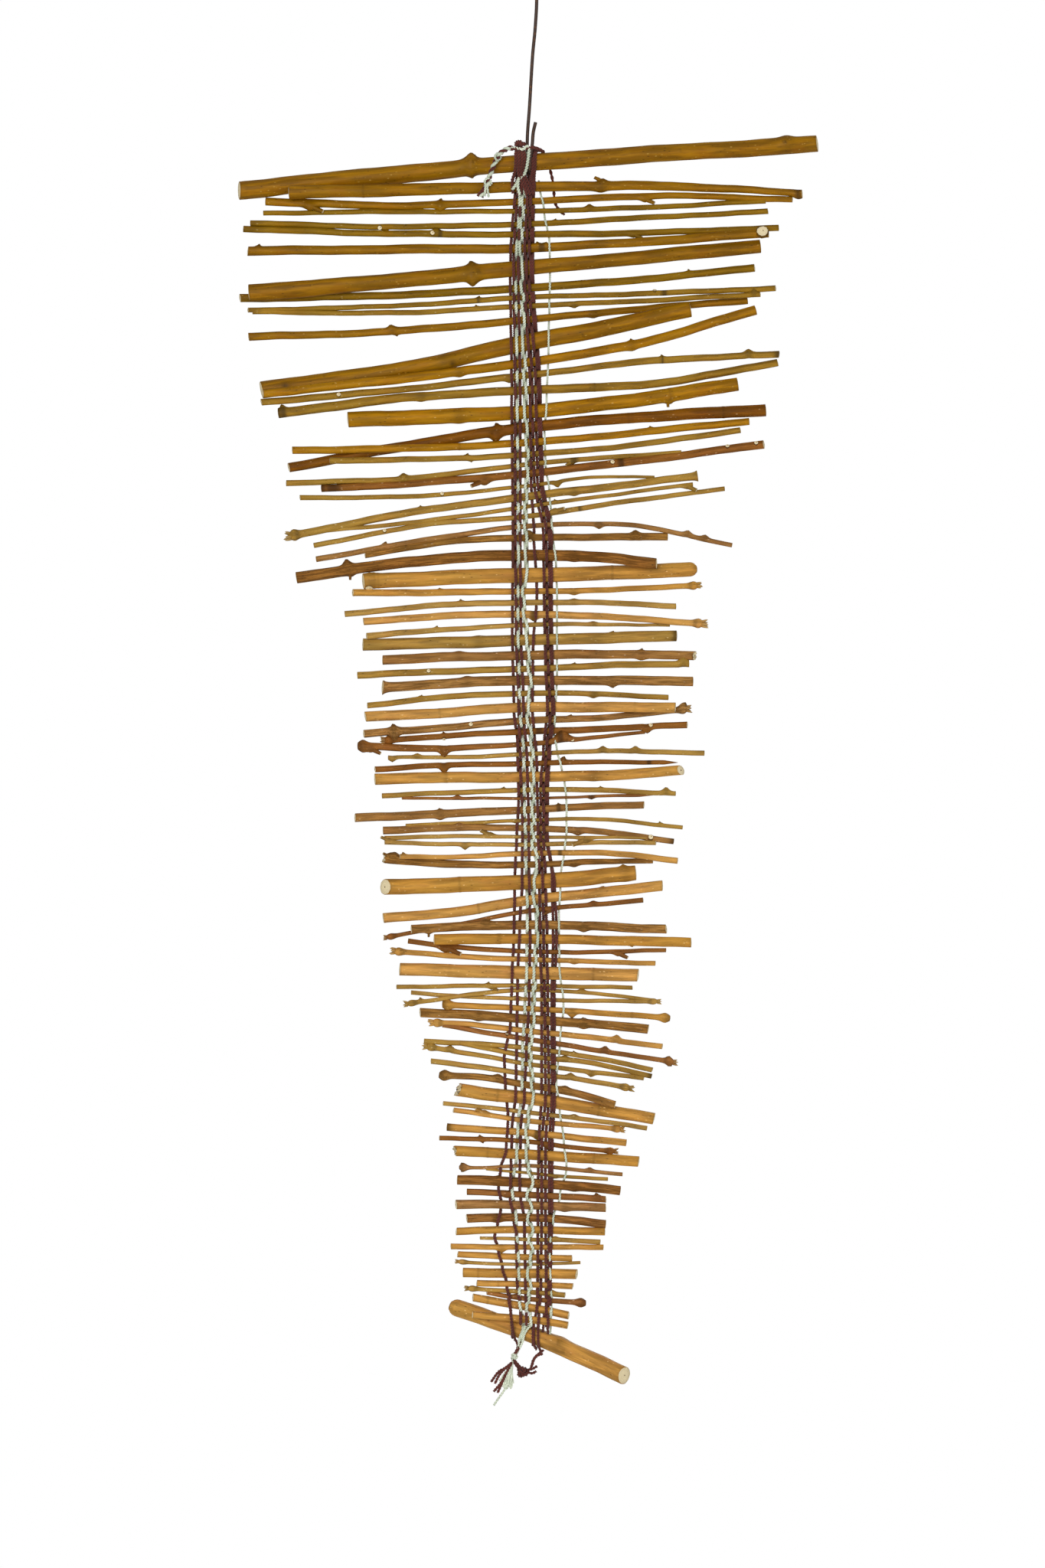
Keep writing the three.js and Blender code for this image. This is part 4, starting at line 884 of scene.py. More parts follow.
class Shell:
    """A mesh under way, with the values that its bark reads at each point."""

    def __init__(self):
        self.points, self.faces, self.slots = [], [], []
        self.grain, self.scar, self.wound = [], [], []

    def ring(self, points, grain, scar=0.0, wound=0.0):
        first = len(self.points)
        self.points += points
        self.grain += grain
        self.scar += scar if isinstance(scar, list) else [scar] * len(points)
        self.wound += wound if isinstance(wound, list) else [wound] * len(points)
        return list(range(first, first + len(points)))

    def join(self, one, other, slot=0):
        count = len(one)
        for i in range(count):
            j = (i + 1) % count
            self.faces.append((one[i], other[i], other[j], one[j]))
            self.slots.append(slot)

    def close(self, ring, middle, slot=0):
        count = len(ring)
        for i in range(count):
            self.faces.append((ring[i], middle, ring[(i + 1) % count]))
            self.slots.append(slot)

    def spur(
        self, root, way, length, thick, tip, scar, wound, cap, dice, bend=None, rings=5, sides=8
    ):
        """A bud or side shoot that grows from root along way; cap 1 leaves a pale broken end."""
        way = way.normalized()
        side = way.orthogonal().normalized()
        over = way.cross(side)
        last = None
        for k in range(rings + 1):
            t = k / rings
            middle = root + way * (length * t) + (bend * (length * t * t) if bend else Vector())
            wide = (
                thick * (1 - t) + tip * t if cap
                else thick * math.sqrt(max(0.0, 1 - t ** 1.6)) * (1 - 0.25 * t) + 0.02
            )
            spots, grain = [], []
            for i in range(sides):
                turn = math.tau * i / sides
                reach = wide * (1 + dice.uniform(-0.07, 0.07))
                spot = middle + (side * math.cos(turn) + over * math.sin(turn)) * reach
                spots.append(spot * MM)
                grain.append(
                    ((root.x + length * t * 0.6) * MM, reach * math.cos(turn) * MM,
                     reach * math.sin(turn) * MM)
                )
            ring = self.ring(spots, grain, scar * (0.5 + 0.5 * t), wound * t)
            if last:
                self.join(last, ring)
            else:
                self.close(ring[::-1], self.ring([root * MM], [(root.x * MM, 0.0008, 0)], scar)[0])
            last = ring
        slot = 1 if cap else 0
        end = root + way * (length * 1.03) + (bend * length if bend else Vector())
        if cap:
            rim = self.ring(
                [p + (end * MM - p) * 0.12 for p in (self.points[i] for i in last)],
                [self.grain[i] for i in last], 0.1
            )
            self.join(last, rim, 1)
            last = rim
        middle = self.ring([end * MM], [(root.x * MM, 0.0008, 0)], scar if not cap else 0.0, 0)[0]
        self.close(last, middle, slot)

    def mesh(self, name, tone, materials):
        made = bpy.data.meshes.new(name)
        made.from_pydata([tuple(p) for p in self.points], [], self.faces)
        for material in materials:
            made.materials.append(material)
        made.polygons.foreach_set("material_index", self.slots)
        made.polygons.foreach_set("use_smooth", [True] * len(self.faces))
        made.attributes.new("grain", "FLOAT_VECTOR", "POINT").data.foreach_set(
            "vector", [c for g in self.grain for c in g]
        )
        made.attributes.new("scar", "FLOAT", "POINT").data.foreach_set("value", self.scar)
        made.attributes.new("wound", "FLOAT", "POINT").data.foreach_set("value", self.wound)
        made.attributes.new("tone", "FLOAT", "POINT").data.foreach_set(
            "value", [tone] * len(self.points)
        )
        made.update()
        sheet = bmesh.new()
        sheet.from_mesh(made)
        bmesh.ops.recalc_face_normals(sheet, faces=sheet.faces)
        if sheet.calc_volume(signed=True) < 0:
            bmesh.ops.reverse_faces(sheet, faces=sheet.faces)
        sheet.to_mesh(made)
        sheet.free()
        return made


RIDGES = {
    "golden": (0.012, 9), "olive": (0.016, 8), "russet": (0.02, 8), "pink": (0.03, 9),
    "grey": (0.055, 9), "dark": (0.06, 11)
}


def read_growth(text):
    """The features of one twig, as lists of a word and its numbers."""
    found = []
    for part in filter(None, (p.strip() for p in text.split(";"))):
        word, *numbers = part.split()
        found.append((word, [float(n) for n in numbers]))
    return found


def hump(x, at, wide):
    """1 at its middle and falling away softly on both sides."""
    return math.exp(-(((x - at) / wide) ** 2))


def twig_mesh(twig, step, materials):
    """The twig's bark as rings along its middle line, its two ends, and all that grows on it."""
    shell, dice = Shell(), twig.dice
    thick = max(twig.thick_left, twig.thick_right)
    sides = 22 if thick > 6 else 16 if thick > 4 else 12
    growth = read_growth(twig.growth)
    puff = 1.7 if thick < THICK_FROM else 1.1
    swells = [
        (
            n[0], n[1] * puff, n[2] if len(n) > 2 else 1.2 + 0.25 * thick,
            dice.choice((0.5, 1.5)) * math.pi + dice.uniform(-0.6, 0.6)
        ) for word,
        n in growth if word == "node"
    ]
    rings = [n[0] for word, n in growth if word == "ring"]
    darks = [(n[0], n[1]) for word, n in growth if word == "dark"]
    ridge, count = RIDGES[twig.bark]
    turns = [
        (k, dice.uniform(0, math.tau), dice.uniform(0.01, 0.03), size) for k,
        size in ((2, 0.025), (3, 0.018), (5, 0.01), (count, ridge), (count + 4, ridge * 0.6))
    ]
    soft = [
        (dice.uniform(9, 26), dice.uniform(0, math.tau), dice.uniform(0.004, 0.011))
        for _ in range(3)
    ]
    length = twig.right - twig.left
    stops = max(8, int(length / (step / MM)))
    ends = []
    for end in (0, 1):
        style = twig.ends[end]
        tilt = {"slant": 0.75, "broken": 0.3, "round": 0.0}.get(style, dice.uniform(0.0, 0.28))
        ends.append(
            (style, tilt, dice.uniform(-0.7, 0.7) if style != "slant" else (0.25 if end else 0.1))
        )
    previous, first_ring = None, None
    eyes = [(n[0], math.radians(n[1]), n[2]) for word, n in growth if word == "eye"]
    knobs = [(n[0], math.radians(n[1]), n[2]) for word, n in growth if word in ("bud", "stub")]
    for s in range(stops + 1):
        x = twig.left + length * s / stops
        middle = twig.centre(x)
        ahead = twig.centre(min(x + 0.5, twig.right)) - twig.centre(max(x - 0.5, twig.left))
        along = Vector((ahead.x, 0, ahead.z)).normalized()
        up = Vector((-along.z, 0, along.x))
        radius = twig.radius(x) * (1 + sum(a * math.sin(x / w + p) for w, p, a in soft))
        scar = 0.0
        for at, size, wide, _ in swells:
            near = hump(x, at, wide)
            radius *= 1 + size * near
            scar = max(scar, 0.3 * hump(x - at, 0.4, 0.55), 0.3 * near)
        for at in rings:
            near = hump(x, at, 0.5)
            radius *= 1 + 0.035 * near
            scar = max(scar, 0.3 * near)
        for at, wide in darks:
            scar = max(scar, 0.85 * math.exp(-(((x - at) / (wide * 0.6)) ** 4)))
        for end, (style, _, _) in enumerate(ends):
            gap = (x - twig.left) if end == 0 else (twig.right - x)
            if style == "flare":
                radius *= 1 + 0.5 * math.exp(-gap / 1.6)
            elif style == "crown":
                radius *= 1 + 0.55 * hump(gap, 3.2, 2.2) - 0.55 * hump(gap, 0, 1.3)
                scar = max(scar, 0.5 * hump(gap, 5, 1.2))
            elif style == "knob":
                radius *= 1 + 0.75 * hump(gap, 2.6, 2.4) - 0.25 * hump(gap, 0, 1.0)
                scar = max(scar, 0.55 * hump(gap, 0, 3.0))
            elif style == "round":
                radius *= math.sqrt(1 - 0.75 * max(0.0, 1 - gap / (thick * 0.42)) ** 2)
            elif style == "thorn":
                radius *= 0.12 + 0.88 * min(1.0, gap / 7)
            elif style == "dark":
                scar = max(scar, 0.9 * hump(gap, 0, 2.4))
            scar = max(scar, 0.15 * hump(gap, 0, 0.6))
        spots, grain, marks = [], [], []
        for i in range(sides):
            turn = math.tau * i / sides
            mark = scar
            reach = radius * (
                1 + sum(size * math.cos(k * turn + p + x * w * 3) for k, p, w, size in turns)
            )
            for at, size, wide, aim in swells:
                reach += radius * size * 0.9 * hump(x, at, wide) * math.cos(turn - aim)
            for at, aim, size in knobs:
                near = hump(x, at, 0.4 + size * 0.4)
                reach += (
                    size * 0.36 * near
                    * max(0.0, math.sin(turn) * math.sin(aim) + math.cos(turn) * math.cos(aim)) ** 2
                )
                mark = max(mark, 0.5 * near * max(0.0, math.cos(turn - aim)) ** 3)
            for at, aim, size in eyes:
                away = math.hypot(
                    x - at, radius * math.sin(turn - aim)
                ) if math.cos(turn - aim) > 0 else 99.0
                mark = max(mark, 0.9 * hump(away, 0, size * 0.55))
                reach += 0.3 * hump(away, size * 0.6, size * 0.35)
            lean = 0.0
            for end, (style, tilt, aim) in enumerate(ends):
                gap = (x - twig.left) if end == 0 else (twig.right - x)
                fade = max(0.0, 1 - gap / (thick * 1.2))
                lean += (1 if end == 0 else -1) * tilt * fade * reach * math.cos(turn - aim)
                if style == "broken" and gap < 0.1:
                    lean += (1 if end == 0 else -1) * dice.uniform(0, thick * 0.3)
            spot = (
                middle + Vector((0, -math.cos(turn) * reach, 0))
                + up * (math.sin(turn) * reach) + along * lean
            )
            spots.append(spot * MM)
            grain.append((x * MM, math.cos(turn) * reach * MM, math.sin(turn) * reach * MM))
            marks.append(mark)
        ring = shell.ring(spots, grain, marks)
        if previous:
            shell.join(ring, previous)
        else:
            first_ring = ring
        previous = ring
    for end, ring in ((0, first_ring), (1, previous)):
        style = ends[end][0]
        slot = 0 if style in ("dark", "round", "crown", "knob", "thorn") else 1
        x = twig.right if end else twig.left
        centre = sum((shell.points[i] for i in ring), Vector()) / len(ring)
        out = Vector((1 if end else -1, 0, 0)) * twig.radius(x) * MM
        for pull, push in ((0.07, 0.05), (0.55, 0.09)):
            spots = [shell.points[i] + (centre - shell.points[i]) * pull + out * push for i in ring]
            if style == "broken":
                spots = [p + out * dice.uniform(-0.5, 0.35) for p in spots]
            values = [
                tuple(g * (1 - pull) if k else g for k, g in enumerate(shell.grain[i]))
                for i in ring
            ]
            inner = shell.ring(spots, values, 0.1 if pull < 0.1 else (0.8 if slot == 0 else 0.0))
            shell.join(*((ring, inner) if end else (inner, ring)), slot if pull > 0.1 else 0)
            ring = inner
        tip = shell.ring([centre + out * 0.1], [(x * MM, 0, 0)], 0.8 if slot == 0 else 0.0)[0]
        shell.close(ring if end else ring[::-1], tip, slot)
        if style == "crown":
            for k in range(5):
                angle = math.tau * k / 5 + dice.uniform(-0.3, 0.3)
                root = (
                    twig.centre(x)
                    + Vector((-1.5 if end else 1.5, -math.cos(angle), math.sin(angle)))
                    * twig.radius(x) * 0.6
                )
                way = Vector((1.6 if end else -1.6, -math.cos(angle) * 0.5, math.sin(angle) * 0.6))
                shell.spur(
                    root, way, twig.radius(x) * dice.uniform(1.6, 2.4), twig.radius(x) * 0.5, 0,
                    0.45, 0.55, False, dice
                )
    for word, numbers in growth:
        if word in ("bud", "stub", "chip"):
            x, angle, size = numbers[:3]
            turn = math.radians(angle)
            out = Vector((0, -math.cos(turn), math.sin(turn)))
            root = twig.centre(x) + out * (twig.radius(x) * 0.82)
            if word == "bud":
                way = out + Vector((dice.choice((-0.5, 0.5)), 0, 0))
                shell.spur(root, way, size * 0.62 + 0.35, size * 0.52, 0, 0.8, 0.05, False, dice)
            elif word == "stub":
                way = out + Vector((numbers[3] * 1.5, 0, 0))
                shell.spur(
                    root, way, size, min(1.3, size * 0.22) + 0.2, min(0.9, size * 0.16) + 0.15,
                    0.45, 0.0, True, dice, Vector((numbers[3] * 0.15, 0, 0))
                )
            else:
                root = twig.centre(x) + out * (twig.radius(x) * 0.55)
                shell.spur(
                    root, out, twig.radius(x) * 0.45 + 0.35, size * 0.62, size * 0.5, 0.8, 0.0,
                    True, dice, rings=3, sides=10
                )
    # Twigs low on the hanging are made paler and those higher up darker, on top of a random tone
    # for each twig.
    height_tone = 1 - 2 * min(1.0, max(0.0, (twig.height(BAND_X) - PALE_BELOW) / TONE_SPAN))
    return shell.mesh(
        twig.name, height_tone * (0.95 if twig.bark == "golden" else 0.65) + dice.uniform(-0.3, 0.3),
        materials
    )


def add_piece(name, mesh, slot, *nodes):
    """A finished mesh as a piece of the hanging that stands for its nodes."""
    piece = bpy.data.objects.new(name, mesh)
    bpy.context.scene.collection.objects.link(piece)
    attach(piece, "root")
    if nodes:
        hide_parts(*nodes)
    return piece


BARK_SLOTS = {
    "golden": "golden_bark", "olive": "olive_bark", "russet": "russet_bark", "pink": "russet_bark",
    "grey": "rough_bark", "dark": "rough_bark"
}


def bark_materials():
    """The six barks and the cut wood, made once."""
    own = bpy.context.scene.hanging_twigs
    plans = {
        "golden": (own.golden, 0.15, 0.42, shade(222, 178, 100)),
        "olive": (own.olive, 0.2, 0.46, shade(206, 176, 112)),
        "russet": (own.russet, 0.35, 0.46, shade(196, 150, 100)),
        "pink": (own.pink, 0.5, 0.56, shade(206, 170, 130)),
        "grey": (own.grey, 0.9, 0.7, shade(180, 150, 116)),
        "dark": (own.dark, 1.0, 0.7, shade(60, 42, 28)),
    }
    for name, (tint, grain, rough, speck) in plans.items():
        if "bark_" + name not in bpy.data.materials:
            bark_finish("bark_" + name, tuple(tint), grain, rough, speck, own.relief)
    if "cut_wood" not in bpy.data.materials:
        cut_finish("cut_wood", tuple(own.cut))


def all_twigs():
    """Every twig, thick and thin, from the top down, with the node that stands for it."""
    wander = bpy.context.scene.hanging_twigs.wander
    found = [(Twig(row, row[8], wander), row[0]) for row in THICK_TWIGS]
    for node, rows in THIN_TWIGS:
        found += [(Twig(row, THIN_DEPTHS.get(row[0], (0, 0, 0)), wander), node) for row in rows]
    return sorted(found, key=lambda pair: -pair[0].height(BAND_X))


def make_twigs(wanted):
    bark_materials()
    step = bpy.context.scene.hanging_twigs.ring_step
    for twig, node in all_twigs():
        if (node == twig.name) != wanted:
            continue
        materials = [bpy.data.materials["bark_" + twig.bark], bpy.data.materials["cut_wood"]]
        mesh = twig_mesh(twig, step, materials)
        add_piece(twig.name + "_wood", mesh, BARK_SLOTS[twig.bark], node)


# ---- Threads -----------------------------------------------------------------------------------


def new_tree(name, shape, numbers, finishes, result):
    """A geometry tree with its named inputs and its one output, and its input sockets."""
    tree = bpy.data.node_groups.new(name, "GeometryNodeTree")
    face = tree.interface
    face.new_socket(name=shape, in_out="INPUT", socket_type="NodeSocketGeometry")
    for label, kind, default in numbers:
        face.new_socket(
            name=label, in_out="INPUT", socket_type="NodeSocket" + kind
        ).default_value = default
    for label in finishes:
        face.new_socket(name=label, in_out="INPUT", socket_type="NodeSocketMaterial")
    face.new_socket(name=result, in_out="OUTPUT", socket_type="NodeSocketGeometry")
    nodes = Nodes(tree)
    return nodes, nodes.node("NodeGroupInput").outputs


def drawn_tube(nodes, line, circle, finish):
    """The circle drawn along the line: a closed, smooth tube in one finish."""
    tube = nodes.node(
        "GeometryNodeCurveToMesh", None, {"Curve": line, "Profile Curve": circle, "Fill Caps": True}
    ).outputs[0]
    tube = nodes.node(
        "GeometryNodeSetShadeSmooth", None, {"Geometry": tube, "Shade Smooth": True}
    ).outputs[0]
    tube = nodes.node("GeometryNodeRealizeInstances", None, {"Geometry": tube}).outputs[0]
    return nodes.node(
        "GeometryNodeSetMaterial", None, {"Geometry": tube, "Material": finish}
    ).outputs[0]


def thread_tree():
    """Geometry nodes that turn a line into a twisted thread, or a plain wire with one ply."""
    if "Twisted thread" in bpy.data.node_groups:
        return bpy.data.node_groups["Twisted thread"]
    numbers = (
        ("Thickness", "Float", 0.0013), ("Plies", "Int", 2), ("Twist", "Float", 330.0),
        ("Step", "Float", 0.0005), ("Groove", "Float", 0.2), ("Sides", "Int", 10)
    )
    nodes, given = new_tree("Twisted thread", "Line", numbers, ("Finish", "Other ply"), "Thread")
    line = nodes.node("GeometryNodeMeshToCurve", None, {"Mesh": given["Line"]}).outputs[0]
    line = nodes.node(
        "GeometryNodeResampleCurve", {"mode": "LENGTH"}, {"Curve": line, "Length": given["Step"]}
    ).outputs[0]
    along = Term(nodes, nodes.node("GeometryNodeSplineParameter").outputs["Length"])
    width = nodes.node(
        "GeometryNodeInputNamedAttribute", {"data_type": "FLOAT"}, {"Name": "width"}
    ).outputs[0]
    line = nodes.node(
        "GeometryNodeSetCurveRadius", None, {"Curve": line, "Radius": width}
    ).outputs[0]
    line = nodes.node(
        "GeometryNodeSetCurveTilt", None,
        {"Curve": line, "Tilt": along * Term(nodes, given["Twist"]) * math.tau}
    ).outputs[0]
    circle = nodes.node(
        "GeometryNodeCurvePrimitiveCircle", {"mode": "RADIUS"},
        {"Resolution": given["Sides"], "Radius": Term(nodes, given["Thickness"]) * 0.5}
    ).outputs[0]
    around = Term(nodes, nodes.node("GeometryNodeSplineParameter").outputs["Factor"]) * math.tau
    turn = around * Term(nodes, given["Plies"])
    dip = (1.0 - turn.math("COSINE")) * 0.5
    place = nodes.node("GeometryNodeInputPosition").outputs[0]
    lobed = nodes.scale(place, 1.0 - dip * Term(nodes, given["Groove"]) * 2.0)
    # This value marks the grooves between the plies, where the cotton's colour is darkened as
    # painted shade.
    circle = nodes.node(
        "GeometryNodeStoreNamedAttribute", {"data_type": "FLOAT", "domain": "POINT"},
        {
            "Geometry": circle, "Name": "groove",
            "Value": dip * dip * Term(nodes, given["Groove"]) * 3.0
        }
    ).outputs[0]
    circle = nodes.node(
        "GeometryNodeStoreNamedAttribute", {"data_type": "FLOAT", "domain": "POINT"},
        {"Geometry": circle, "Name": "ply", "Value": around.math("COSINE")}
    ).outputs[0]
    circle = nodes.node(
        "GeometryNodeSetPosition", None, {"Geometry": circle, "Position": lobed}
    ).outputs[0]
    tube = drawn_tube(nodes, line, circle, given["Finish"])
    other = Term(
        nodes,
        nodes.node(
            "GeometryNodeInputNamedAttribute", {"data_type": "FLOAT"}, {"Name": "ply"}
        ).outputs[0]
    ).math("LESS_THAN", 0.0)
    tube = nodes.node(
        "GeometryNodeSetMaterial", None,
        {"Geometry": tube, "Selection": other, "Material": given["Other ply"]}
    ).outputs[0]
    nodes.node("NodeGroupOutput", None, {"Thread": tube})
    return nodes.tree


def fringe_tree():
    """Geometry nodes that fray each given strand into many fine fibres."""
    if "Combed fringe" in bpy.data.node_groups:
        return bpy.data.node_groups["Combed fringe"]
    numbers = (
        ("Fibres", "Int", 14), ("Thickness", "Float", 0.0003), ("Spread", "Float", 0.0016),
        ("Seed", "Int", 5)
    )
    nodes, given = new_tree("Combed fringe", "Strands", numbers, ("Finish",), "Fringe")
    line = nodes.node("GeometryNodeMeshToCurve", None, {"Mesh": given["Strands"]}).outputs[0]
    line = nodes.node(
        "GeometryNodeResampleCurve", {"mode": "COUNT"}, {"Curve": line, "Count": 16}
    ).outputs[0]
    line = nodes.node(
        "GeometryNodeDuplicateElements", {"domain": "SPLINE"},
        {"Geometry": line, "Amount": given["Fibres"]}
    ).outputs[0]
    each = nodes.node(
        "FunctionNodeRandomValue", {"data_type": "FLOAT_VECTOR"},
        {
            "Min": (-1, -1, -1), "Max": (1, 1, 1),
            "ID": nodes.node("GeometryNodeInputIndex").outputs[0], "Seed": given["Seed"]
        }
    ).outputs[0]
    each = nodes.node(
        "GeometryNodeFieldOnDomain", {"data_type": "FLOAT_VECTOR", "domain": "CURVE"}, {0: each}
    ).outputs[0]
    part = Term(nodes, nodes.node("GeometryNodeSplineParameter").outputs["Factor"])
    spread = nodes.scale(each, (part * 0.85 + 0.15) * Term(nodes, given["Spread"]))
    place = nodes.node("GeometryNodeInputPosition").outputs[0]
    own_place = nodes.node(
        "ShaderNodeVectorMath", None, {0: nodes.scale(place, 260.0), 1: nodes.scale(each, 9.0)}
    ).outputs[0]
    curl = nodes.node(
        "ShaderNodeTexNoise", None, {"Vector": own_place, "Scale": 1.0, "Detail": 1.0}
    ).outputs["Color"]
    curl = nodes.node(
        "ShaderNodeVectorMath", {"operation": "SUBTRACT"}, {0: curl, 1: (0.5, 0.5, 0.5)}
    ).outputs[0]
    curl = nodes.scale(curl, part * Term(nodes, given["Spread"]) * 1.8)
    offset = nodes.node("ShaderNodeVectorMath", None, {0: spread, 1: curl}).outputs[0]
    line = nodes.node(
        "GeometryNodeSetPosition", None, {"Geometry": line, "Offset": offset}
    ).outputs[0]
    circle = nodes.node(
        "GeometryNodeCurvePrimitiveCircle", {"mode": "RADIUS"},
        {"Resolution": 4, "Radius": Term(nodes, given["Thickness"]) * 0.5}
    ).outputs[0]
    tube = drawn_tube(nodes, line, circle, given["Finish"])
    nodes.node("NodeGroupOutput", None, {"Fringe": tube})
    return nodes.tree


def grown(name, lines, tree, widths=None, **values):
    """Lines of points, in metres, put through a geometry node tree and kept as a plain mesh."""
    points, edges = [], []
    for line in lines:
        first = len(points)
        points += [tuple(p) for p in line]
        edges += [(first + i, first + i + 1) for i in range(len(line) - 1)]
    drawn = bpy.data.meshes.new(name + "_line")
    drawn.from_pydata(points, edges, [])
    drawn.attributes.new("width", "FLOAT", "POINT").data.foreach_set(
        "value", widths or [1.0] * len(points)
    )
    holder = bpy.data.objects.new(name + "_line", drawn)
    bpy.context.scene.collection.objects.link(holder)
    modifier = holder.modifiers.new("Threads", "NODES")
    modifier.node_group = tree
    for socket in tree.interface.items_tree:
        if socket.item_type == "SOCKET" and socket.in_out == "INPUT" and socket.name in values:
            modifier[socket.identifier] = values[socket.name]
    ready = bpy.context.evaluated_depsgraph_get()
    made = bpy.data.meshes.new_from_object(
        holder.evaluated_get(ready), preserve_all_data_layers=True, depsgraph=ready
    )
    holder.modifiers.remove(modifier)
    bpy.data.objects.remove(holder)
    made.name = name
    return made


def smooth_line(points, spacing=0.4):
    """A smooth curve through the points, in metres, sampled about every spacing millimetres."""
    spots = [Vector(p) for p in points]
    line = []
    for i in range(len(spots) - 1):
        before = spots[i - 1] if i else spots[0] * 2 - spots[1]
        after = spots[i + 2] if i + 2 < len(spots) else spots[-1] * 2 - spots[-2]
        one, two = spots[i], spots[i + 1]
        count = max(2, int((two - one).length / spacing))
        for k in range(count):
            t = k / count
            line.append(
                (one * 2 + (two - before) * t + (before * 2 - one * 5 + two * 4 - after) * t * t
                 + (one * 3 - before - two * 3 + after) * t ** 3)
                * 0.5
            )
    line.append(spots[-1])
    return [p * MM for p in line]


def across(route, z):
    """The warp's x at a height, smooth between its given points."""
    if z >= route[0][1]:
        return route[0][0]
    for (x0, z0), (x1, z1) in zip(route, route[1:]):
        if z >= z1:
            t = (z0 - z) / (z0 - z1)
            return x0 + (x1 - x0) * t * t * (3 - 2 * t)
    return route[-1][0]


def warp_line(route, side, twigs, thick, dice):
    """The warp's way over one twig and under the next, pulled tight round each."""
    top, bottom = route[0][1], route[-1][1]
    stops = []
    for twig in twigs:
        x = across(route, twig.height(BAND_X))
        middle = twig.centre(x)
        if bottom - 4 <= middle.z <= top:
            reach = twig.radius(x) + thick * 0.55
            stops.append((middle, reach, side))
        side = -side
    line, widths = [], []
    for i, (middle, reach, way) in enumerate(stops):
        tilts = []
        for j in (i - 1, i + 1):
            if 0 <= j < len(stops):
                gap = abs(stops[j][0].z - middle.z)
                tilts.append(math.asin(min(0.93, (reach + stops[j][1]) / gap)))
            else:
                tilts.append(1.2)
        for k in range(7):
            angle = tilts[0] + (-tilts[1] - tilts[0]) * k / 6
            z = middle.z + reach * math.sin(angle)
            line.append(
                Vector(
                    (across(route, z) + dice.uniform(-0.08, 0.08),
                     middle.y + way * reach * math.cos(angle), z)
                )
                * MM
            )
            widths.append(1.0 - 0.38 * (abs(k - 3) / 3) ** 2 + dice.uniform(-0.04, 0.04))
    return line, widths


def cotton(name):
    own = bpy.context.scene.hanging_threads
    # The second colour of each cotton is the painted shade of the grooves between its plies.
    if "cotton_" + name not in bpy.data.materials:
        if name == "maroon":
            cotton_finish("cotton_maroon", tuple(own.maroon), shade(38, 15, 12))
        else:
            cotton_finish("cotton_mint", tuple(own.mint), shade(126, 150, 108))
    return bpy.data.materials["cotton_" + name]


def thread_mesh(
    name, lines, tint, thick=None, step=0.0006, sides=10, other=None, twist=None, widths=None
):
    own = bpy.context.scene.hanging_threads
    return grown(
        name, lines, thread_tree(), widths, Thickness=thick or own.thickness, Plies=own.plies,
        Twist=twist or own.twist, Step=step, Groove=0.2, Sides=sides, Finish=cotton(tint),
        **{"Other ply": cotton(other or tint)}
    )


def knot_line(middle, size, turns=3, around=2, steps=90):
    """A closed-up knot: a thread that winds round itself inside an oval."""
    points = []
    for k in range(steps + 1):
        t = math.tau * k / steps * 0.97
        ring = 0.62 + 0.38 * math.cos(turns * t)
        points.append(
            Vector(
                (middle[0] + size[0] / 2 * ring * math.cos(around * t),
                 middle[1] + size[1] / 2 * math.sin(turns * t),
                 middle[2] + size[2] / 2 * ring * math.sin(around * t))
            )
            * MM
        )
    return points


# ---- Operators ---------------------------------------------------------------------------------


class MakeWire(bpy.types.Operator):
    """Bends the hanging wire: its eye, its stem and the hook round the top bar"""

    bl_idname = "hanging.make_wire"
    bl_label = "Make the wire"

    def execute(self, context):
        tint = tuple(context.scene.hanging_threads.wire)
        finish = wire_finish("wire_coating", tint)
        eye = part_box("hanging_wire")[1][2] / MM - WIRE_THICK / 2
        route = [
            (eye * math.cos(math.radians(d)), 0, eye * math.sin(math.radians(d)))
            for d in range(-50, 241, 15)
        ]
        route += [
            (-0.4, 0, -10), (0.4, 0, -20), (-0.4, 0.2, -35), (-1.8, 0.4, -50), (-3.3, 2, -75),
            (-4.4, 4.6, -90)
        ]
        bar = Twig(THICK_TWIGS[0], (0, 0, 0), 0)
        hook = bar.radius(HOOK_X) + HOOK_REACH
        for degrees in range(10, -191, -20):
            angle = math.radians(degrees)
            route.append(
                (-4.6 + 1.6 * (10 - degrees) / 200, hook * math.cos(angle),
                 bar.height(HOOK_X) + hook * math.sin(angle))
            )
        route += [(-1.9, -5.4, -96), (-1.4, -5, -90), (-0.2, -4.6, -84.6)]
        mesh = grown(
            "hanging_wire", [smooth_line(route)], thread_tree(), Thickness=WIRE_THICK * MM, Plies=1,
            Twist=0.0, Step=0.0006, Groove=0.0, Sides=14, Finish=finish, **{"Other ply": finish}
        )
        add_piece("bent_wire", mesh, "dark_wire", "hanging_wire")
        return {"FINISHED"}


class MakeThickTwigs(bpy.types.Operator):
    """Makes the two bars and every twig that has a solid of its own"""

    bl_idname = "hanging.make_thick_twigs"
    bl_label = "Make the thick twigs"

    def execute(self, context):
        make_twigs(True)
        return {"FINISHED"}


class MakeThinTwigs(bpy.types.Operator):
    """Makes the thin twigs, each its own piece, in place of the flat solids of their runs"""

    bl_idname = "hanging.make_thin_twigs"
    bl_label = "Make the thin twigs"

    def execute(self, context):
        make_twigs(False)
        return {"FINISHED"}


